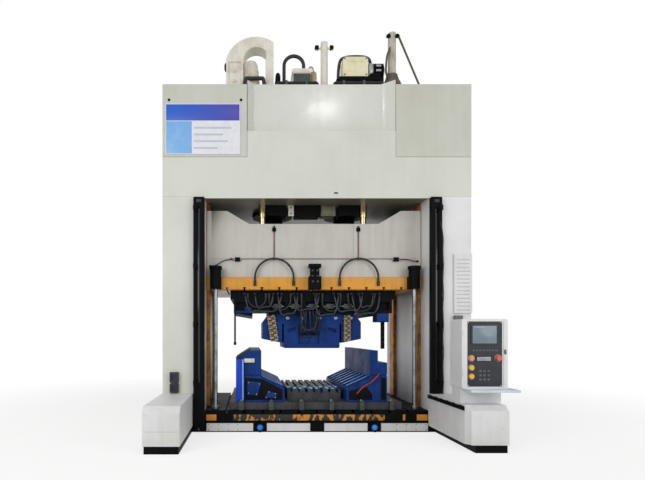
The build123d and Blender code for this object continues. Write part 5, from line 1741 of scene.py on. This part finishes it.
@dataclass
class DeckTrim:
    """Small hydraulics on top of the crown.

    Attributes:
        arch_bolts: Height above the deck of the bolts in the arch's foot.
        arch_bolt: Distance of these bolts from the arch's left side, and their radius.
        drum: X, radius, height and lean of the drum under the arch.
        run: Left and right ends, lift and bend of the black pipe run in front of the drum.
        run_mm: Its radius.
        stack_x: Left and right of the valve stack beside the arch.
        stack_height: Its height.
        stack_half: Half the depth of its lower and of its upper block.
        stack_step: Step at the sides of its upper block.
        deck_pipes: Left and right end of each pipe along the front of the deck.
        deck_pipe: Y, height above the deck and radius of these pipes.
        saddle: Half width, half depth and pitch of the saddles that carry them, and how far they cover them.
        face: Thickness of the filter's dark face, and its distances from the housing's bottom and top.
        face_margin: Rim at its sides.
        bowl: X, radius and height of the filter bowl.
        filter_pipe: Rise, distance inside the housing, depth of its ends and radius of the bowl's pipe.
        elbow: Distance of the elbow left of the valve box, behind the box's front and above the deck.
        box_hose_mm: Radius of the hose over the valve box.
        box_bolt: Distance of the box's bolts from its edges, and their radius.
        crank_mm: Radius of the jib's crank.
        knob: Profile of a knob on the mast.
        knob_drop: Distance of these knobs below the mast's top.
        knob_seat: Distance from the mast's ends to the knobs' seats.
        hub_rise: Height above the deck of the hub on the arch.
    """

    arch_bolts: Pair = (0.24, 0.42)
    arch_bolt: Pair = (0.14, 0.022)
    drum: Quad = (-1.05, 0.135, 0.62, -0.1)
    run: Quad = (-1.20, -0.86, 0.25, 0.06)
    run_mm: float = 32.0
    stack_x: Pair = (-0.672, -0.562)
    stack_height: float = 0.44
    stack_half: Pair = (0.07, 0.055)
    stack_step: float = 0.012
    deck_pipes: Pairs = ((-0.66, 0.05), (0.31, 1.16))
    deck_pipe: Triple = (-1.0, 0.125, 0.026)
    saddle: Quad = (0.02, 0.04, 0.34, 0.004)
    face: Triple = (0.012, 0.08, 0.09)
    face_margin: float = 0.02
    bowl: Triple = (0.005, 0.056, 0.46)
    filter_pipe: Quad = (0.09, 0.04, 0.01, 0.014)
    elbow: Triple = (0.07, 0.08, 0.20)
    box_hose_mm: float = 26.0
    box_bolt: Pair = (0.03, 0.014)
    crank_mm: float = 18.0
    knob: Pairs = ((0.040, 0), (0.042, 0.01), (0.042, 0.05), (0.034, 0.062), (0.016, 0.066))
    knob_drop: float = 0.085
    knob_seat: float = 0.055
    hub_rise: float = 0.54

    @property
    def deck(self) -> float:
        """Height of the crown's top."""
        return Extent.of("arch_bracket").low.z

    @property
    def row(self) -> float:
        """Y of the row of equipment."""
        return Extent.of("filter_housing").middle.y

    def build(self) -> None:
        """Builds everything that stands on the deck."""
        self.build_arch()
        self.build_stack()
        self.build_pipes()
        self.build_filter()
        self.build_valves()
        self.build_jib()

    def build_arch(self) -> None:
        """Bolts and hub of the cast arch, with the drum and the pipe run under it, and the mast's knobs."""
        arch = Extent.of("arch_bracket")
        inset, size = self.arch_bolt
        bolts = Shape()
        for rise in self.arch_bolts:
            bolts.bolt((arch.low.x + inset, arch.low.y, self.deck + rise), FORWARD, size)
        bolts.piece("arch_bolts", CREAM_ENAMEL)
        x, radius, height, lean = self.drum
        levels = [0.08 + rib * 0.085 for rib in range(5)]
        profile = [(0.9 * radius, -0.02), (radius, 0.03)] + ribs(radius, 1.06, levels, (0.012, 0.03, 0.042))
        profile += [(radius, height - 0.07), (0.86 * radius, height - 0.02), (0.4 * radius, height)]
        Shape().turned((x, self.row, self.deck), (lean, 0, 1), profile, 40).piece("arch_drum", PALE_FELT)
        left, right, lift, bend = self.run
        front = self.row - radius - 0.05
        path = bridge(left, right, front, self.deck, self.deck + lift, bend)
        hose("arch_pipe_run", path, self.run_mm, HOSE_RUBBER)
        mast = Extent.of("lifting_mast")
        level = mast.high.z - self.knob_drop
        knobs = Shape()
        knobs.turned((mast.low.x + self.knob_seat, mast.middle.y, level), LEFTWARD, self.knob, 28)
        knobs.turned((mast.high.x - self.knob_seat, mast.middle.y, level), RIGHTWARD, self.knob, 28)
        hub = ((0.05, 0), (0.07, 0.012), (0.07, 0.03), (0.04, 0.045))
        knobs.turned((arch.low.x + 0.01, arch.middle.y, self.deck + self.hub_rise), LEFTWARD, hub, 28)
        knobs.piece("deck_knobs", BLACK_ENAMEL)

    def build_stack(self) -> None:
        """Valve stack beside the arch."""
        left, right = self.stack_x
        lower, upper = self.stack_half
        height, step = self.stack_height, self.stack_step
        x, y, deck = (left + right) / 2, self.row, self.deck
        stack = Shape(5.0).block((left, y - lower, deck), (right, y + lower, deck + 0.6 * height))
        low, high = deck + 0.62 * height, deck + 0.86 * height
        stack.block((left + step, y - upper, low), (right - step, y + upper, high))
        stem = ((0.035, 0), (0.035, 0.42 * height), (0.02, 0.45 * height))
        stack.turned((x, y, deck + 0.55 * height), UPWARD, stem, 24)
        for share in (0.2, 0.4):
            stack.bolt((x, y - lower, deck + share * height), FORWARD, 0.02)
        stack.piece("valve_stack", BLACK_ENAMEL)

    def build_pipes(self) -> None:
        """Pipes along the front of the deck, on saddles; both ends go down into the crown."""
        y, lift, radius = self.deck_pipe
        half, depth, pitch, cover = self.saddle
        top = self.deck + lift
        saddles = Shape(4.0)
        for index, (left, right) in enumerate(self.deck_pipes, 1):
            path = bridge(left, right, y, self.deck - radius, top, 3 * radius)
            hose(f"deck_pipe_{index}", path, radius / MM, BLACK_PIPE)
            for step in range(int((right - left) / pitch)):
                x = left + (step + 0.5) * pitch
                saddles.block((x - half, y - depth, self.deck), (x + half, y + depth, top + radius + cover))
        saddles.piece("deck_pipe_saddles", DARK_ENAMEL)

    def build_filter(self) -> None:
        """Dark face of the filter housing, and the bowl and pipe beside it."""
        housing = Extent.of("filter_housing")
        margin = self.face_margin
        depth, low, high = self.face
        near = housing.low.y - depth
        face = Shape(4.0).block(
            (housing.low.x + margin, near, housing.low.z + low),
            (housing.high.x - margin, housing.low.y, housing.high.z - high),
        )
        for x, z in housing.corners(2 * margin, low + margin, high + margin):
            face.screw((x, near, z), FORWARD, 0.009)
        face.piece("filter_face", DARK_ENAMEL)
        x, radius, height = self.bowl
        levels = [0.12 + 0.07 * ring for ring in range(4)]
        profile = [(1.15 * radius, 0.0), (1.15 * radius, 0.05), (radius, 0.06)]
        profile += ribs(radius, 1.08, levels, (0.01, 0.03, 0.04))
        profile += [(radius, height - 0.03), (0.6 * radius, height)]
        Shape().turned((x, self.row, self.deck), UPWARD, profile, 32).piece("filter_bowl", TAN_BOWL)
        rise, inside, seat, thick = self.filter_pipe
        top = self.deck + height
        end = housing.high.x - inside
        path = [
            (x, self.row, top - seat),
            (x, self.row, top + rise),
            (end, self.row, top + rise),
            (end, self.row, housing.high.z - seat),
        ]
        hose("filter_pipe", path, thick / MM, TAN_BOWL)

    def build_valves(self) -> None:
        """Hose over the valve box, its elbow, the box's bolts, and the motor's end bells and straps."""
        box = Extent.of("valve_box")
        motor = Extent.of("pump_motor")
        out, back, lift = self.elbow
        start, front, foot = box.low.x - out, box.low.y + back, self.deck + lift
        path = [
            (start, front, foot + 0.06),
            (start, front, box.high.z - 0.03),
            (box.low.x + 0.06, front, box.high.z + 0.035),
            (box.middle.x, front, box.high.z + 0.045),
            (box.high.x - 0.03, front, box.high.z + 0.04),
            (box.high.x + 0.06, front, box.high.z - 0.02),
            (box.high.x + 0.07, motor.middle.y, motor.high.z - 0.01),
        ]
        hose("valve_box_hose", path, self.box_hose_mm, HOSE_RUBBER)
        elbow = Shape()
        upright = ((0.05, 0), (0.05, 0.03), (0.036, 0.04), (0.036, 0.1))
        across = ((0.034, 0), (0.034, 0.06), (0.045, 0.065), (0.045, 0.075))
        elbow.turned((start, front, foot), UPWARD, upright, 24)
        elbow.turned((start, front, foot + 0.035), RIGHTWARD, across, 24)
        elbow.piece("valve_box_elbow", BLACK_ENAMEL)
        trim = Shape(3.0)
        margin, size = self.box_bolt
        for x, z in box.corners(margin, margin, margin):
            trim.bolt((x, box.low.y, z), FORWARD, size)
        radius = 0.46 * motor.size.z
        cap = ((0.8 * radius, 0), (0.8 * radius, 0.02), (0.5 * radius, 0.035), (0.2 * radius, 0.038))
        trim.turned((motor.high.x - 0.004, motor.middle.y, motor.middle.z), RIGHTWARD, cap, 36)
        radius = 0.52 * motor.size.z
        bell = ((0.9 * radius, 0), (radius, 0.012), (radius, 0.07), (0.92 * radius, 0.085))
        trim.turned((motor.low.x + 0.01, motor.middle.y, motor.middle.z), RIGHTWARD, bell, 36)
        for share in (0.3, 0.6):
            z = motor.low.z + share * motor.size.z
            near, far = motor.low.y - 0.004, motor.low.y + 0.03
            trim.block((motor.middle.x, near, z), (motor.high.x - 0.05, far, z + 0.035))
        trim.piece("pump_trim", STEEL)

    def build_jib(self) -> None:
        """Sheaves, boot and crank of the jib."""
        post = Extent.of("jib_post")
        x, y = post.middle.x, post.middle.y
        top, foot = post.high.z, post.low.z
        sheave = ((0.022, 0), (0.034, 0.006), (0.024, 0.016), (0.034, 0.026), (0.022, 0.032))
        sheaves = Shape(3.0)
        for side in SIDES:
            sheaves.turned((x + side * 0.075, y - 0.05, top - 0.075), FORWARD, sheave, 28)
        sheaves.block((x - 0.1, y - 0.056, top - 0.09), (x + 0.1, y - 0.02, top - 0.06))
        sheaves.piece("jib_sheaves", BLACK_ENAMEL)
        boot = ((0.17, 0), (0.168, 0.2), (0.15, 0.25), (0.125, 0.3), (0.10, 0.37), (0.096, 0.4))
        Shape().turned((x, y, foot), UPWARD, boot, 40).piece("jib_boot", RUSTED_STEEL)
        path = [
            (x - 0.05, y - 0.04, foot + 0.3),
            (x - 0.13, y - 0.09, foot + 0.36),
            (x - 0.13, y - 0.09, top - 0.60),
            (x - 0.10, y - 0.09, top - 0.36),
            (x - 0.01, y - 0.02, top - 0.22),
        ]
        hose("jib_crank", path, self.crank_mm, RUSTED_STEEL)


@dataclass
class FrameTrim:
    """Bolted access covers on the sides and back of the frame.

    Attributes:
        sheet: Thickness of a cover.
        side_covers: Front, back, bottom and top of each side cover.
        rear_cover: Left, right, bottom and top of the crown's rear cover.
        bolt_radius: Radius of their bolts.
        pitch: Distance between bolts.
    """

    sheet: float = 0.01
    side_covers: tuple[Quad, ...] = ((-0.75, 0.75, 0.55, 1.65), (-0.75, 0.75, 2.05, 3.25))
    rear_cover: Quad = (-1.2, 1.2, 4.25, 5.35)
    bolt_radius: float = 0.018
    pitch: float = 0.36

    def rim(self, left: float, right: float, low: float, high: float) -> list[Pair]:
        """Places of the bolts around a cover.

        Args:
            left: Start of the cover across.
            right: End of the cover across.
            low: Its bottom.
            high: Its top.

        Returns:
            Places across and up, along the two long and the two short sides.
        """
        margin = 3 * self.bolt_radius
        rows = []
        for start, end in ((left, right), (low, high)):
            gaps = max(1, round((end - start) / self.pitch))
            step = (end - start - 2 * margin) / gaps
            rows.append([start + margin + index * step for index in range(gaps + 1)])
        across, up = rows
        places = [(x, z) for x in across for z in (up[0], up[-1])]
        return places + [(x, z) for z in up[1:-1] for x in (across[0], across[-1])]

    def build(self) -> None:
        """Adds the covers with their bolts."""
        bolts = Shape()
        for side, node in zip(SIDES, ("left_upright", "right_upright")):
            upright = Extent.of(node)
            wall = upright.low.x if side < 0 else upright.high.x
            outer = wall + side * self.sheet
            covers = Shape(4.0)
            for front, back, low, high in self.side_covers:
                covers.block((min(wall, outer), front, low), (max(wall, outer), back, high))
                for y, z in self.rim(front, back, low, high):
                    bolts.bolt((outer, y, z), (side, 0, 0), self.bolt_radius)
            covers.piece(f"{node}_covers", NODE_FINISHES[node])
        wall = Extent.of("crown").high.y
        left, right, low, high = self.rear_cover
        slab("crown_rear_cover", FRAME_ENAMEL, (left, wall, low), (right, wall + self.sheet, high), 4.0)
        for x, z in self.rim(left, right, low, high):
            bolts.bolt((x, wall + self.sheet, z), (0, 1, 0), self.bolt_radius)
        bolts.piece("access_cover_bolts", STEEL)


@dataclass
class Studio:
    """Floor, light and camera.

    Attributes:
        eye: Place of the camera.
        focal_px: Focal length in pixels of the photograph.
        vanishing_px: Pixel at which lines along Y meet.
        image_px: Width and height of the photograph.
        sensor_mm: Sensor width.
        floor_half: Half the side of the floor.
        white_reach: Distances from the press between which the floor turns white.
        white_share: Share of white in the floor beside the press.
        sky: Strength of the light from all round.
    """

    eye: Triple = (-1.105, -8.870, 1.600)
    focal_px: float = 465.0
    vanishing_px: Pair = (250.0, 335.0)
    image_px: Pair = (645.0, 480.0)
    sensor_mm: float = 36.0
    floor_half: float = 60.0
    white_reach: Pair = (3.5, 11.0)
    white_share: float = 0.7
    sky: float = 0.5

    def camera(self) -> None:
        """Level camera that looks along +Y, framed by its shift."""
        data = bpy.data.cameras.new("camera")
        width, height = self.image_px
        data.sensor_width = self.sensor_mm
        data.lens = self.sensor_mm * self.focal_px / width
        data.shift_x = (width / 2 - self.vanishing_px[0]) / width
        data.shift_y = (self.vanishing_px[1] - height / 2) / width
        data.clip_end = 4 * self.floor_half
        camera = bpy.data.objects.new("camera", data)
        camera.location = self.eye
        camera.rotation_euler = (math.radians(90), 0, 0)
        bpy.context.scene.collection.objects.link(camera)
        bpy.context.scene.camera = camera

    def shown(self, tree: Tree) -> Socket:
        """Tells what the camera sees, straight, in metal or through glass, from what only lights the press.

        Args:
            tree: Nodes of the world or of the floor.

        Returns:
            A socket that is one where it is seen.
        """
        path = add_node(tree, "LightPath")
        seen = path.outputs["Is Camera Ray"]
        for ray in ("Is Glossy Ray", "Is Transmission Ray"):
            seen = reckon(tree, "MAXIMUM", seen, path.outputs[ray])
        return seen

    def backdrop(self) -> None:
        """White world that lights the press less than it shows to the camera."""
        world = bpy.data.worlds.new("studio_white")
        world.use_nodes = True
        tree = world.node_tree
        tree.nodes.clear()
        strength = ramp(tree, self.shown(tree), target=(self.sky, 1.0))
        light = add_node(tree, "Background", {"Color": linear(PURE_WHITE), "Strength": strength})
        add_node(tree, "OutputWorld", {"Surface": light.outputs[0]})
        bpy.context.scene.world = world

    def floor(self) -> None:
        """Pale floor that keeps the press's shadow."""
        half = self.floor_half
        mesh = bpy.data.meshes.new("floor")
        corners = [(-half, -half, 0), (half, -half, 0), (half, half, 0), (-half, half, 0)]
        mesh.from_pydata(corners, [], [(0, 1, 2, 3)])
        floor = bpy.data.objects.new("floor", mesh)
        bpy.context.scene.collection.objects.link(floor)
        mesh.materials.append(self.floor_material())

    def floor_material(self) -> Material:
        """Matt pale floor that is lifted to white away from the press."""
        material = bpy.data.materials.new("floor_pale")
        material.use_nodes = True
        tree = material.node_tree
        tree.nodes.clear()
        matt = add_node(tree, "BsdfDiffuse", {"Color": linear("#F4F4F2"), "Roughness": 0.9})
        white = add_node(tree, "Emission", {"Color": linear(PURE_WHITE), "Strength": 1.0})
        place = add_node(tree, "TexCoord").outputs["Object"]
        reach = add_node(tree, "VectorMath", {0: place}, operation="LENGTH").outputs["Value"]
        lift = ramp(tree, reach, self.white_reach, (self.white_share, 1.0), interpolation_type="SMOOTHSTEP")
        share = reckon(tree, "MULTIPLY", lift, self.shown(tree))
        blend = add_node(tree, "MixShader", {0: share, 1: matt.outputs[0], 2: white.outputs[0]})
        add_node(tree, "OutputMaterial", {"Surface": blend.outputs[0]})
        return material

    def lamp(self, name: str, place: Triple, aim: Triple, size: Pair, watts: float) -> None:
        """Adds one soft box.

        Args:
            name: Name of the lamp.
            place: Where it hangs.
            aim: The point that it faces.
            size: Width and height.
            watts: Its power.
        """
        data = bpy.data.lights.new(name, "AREA")
        data.shape = "RECTANGLE"
        data.size, data.size_y = size
        data.energy = watts
        lamp = bpy.data.objects.new(name, data)
        lamp.location = place
        lamp.rotation_euler = (Vector(aim) - Vector(place)).to_track_quat("-Z", "Y").to_euler()
        bpy.context.scene.collection.objects.link(lamp)

    def build(self) -> None:
        """Sets the whole studio up."""
        scene = bpy.context.scene
        scene.view_settings.view_transform = "Standard"
        self.camera()
        self.backdrop()
        self.floor()
        self.lamp("key_softbox", (-6.5, -10.0, 4.8), (0.2, -1.0, 2.4), (6.0, 4.0), 300.0)
        self.lamp("fill_softbox", (7.0, -9.5, 4.0), (1.2, -1.0, 2.0), (5.0, 5.0), 194.0)
        self.lamp("cover_lamp", (0.64, -7.3, 8.41), (-0.02, -1.05, 5.38), (0.7, 0.35), 24.0)


def main() -> None:
    """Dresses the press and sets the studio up."""
    Dressing().dress()
    trims = (SignFace, UnderCrown, SlideLines, UpperDieTrim, LowerDieTrim, BolsterTape, BedTrim)
    trims += (CurtainTrim, PedestalTrim, ConsoleTrim, DeckTrim, FrameTrim)
    for trim in trims:
        trim().build()
    Studio().build()


if __name__ == "__main__":
    logging.basicConfig(level=logging.INFO)
    main()
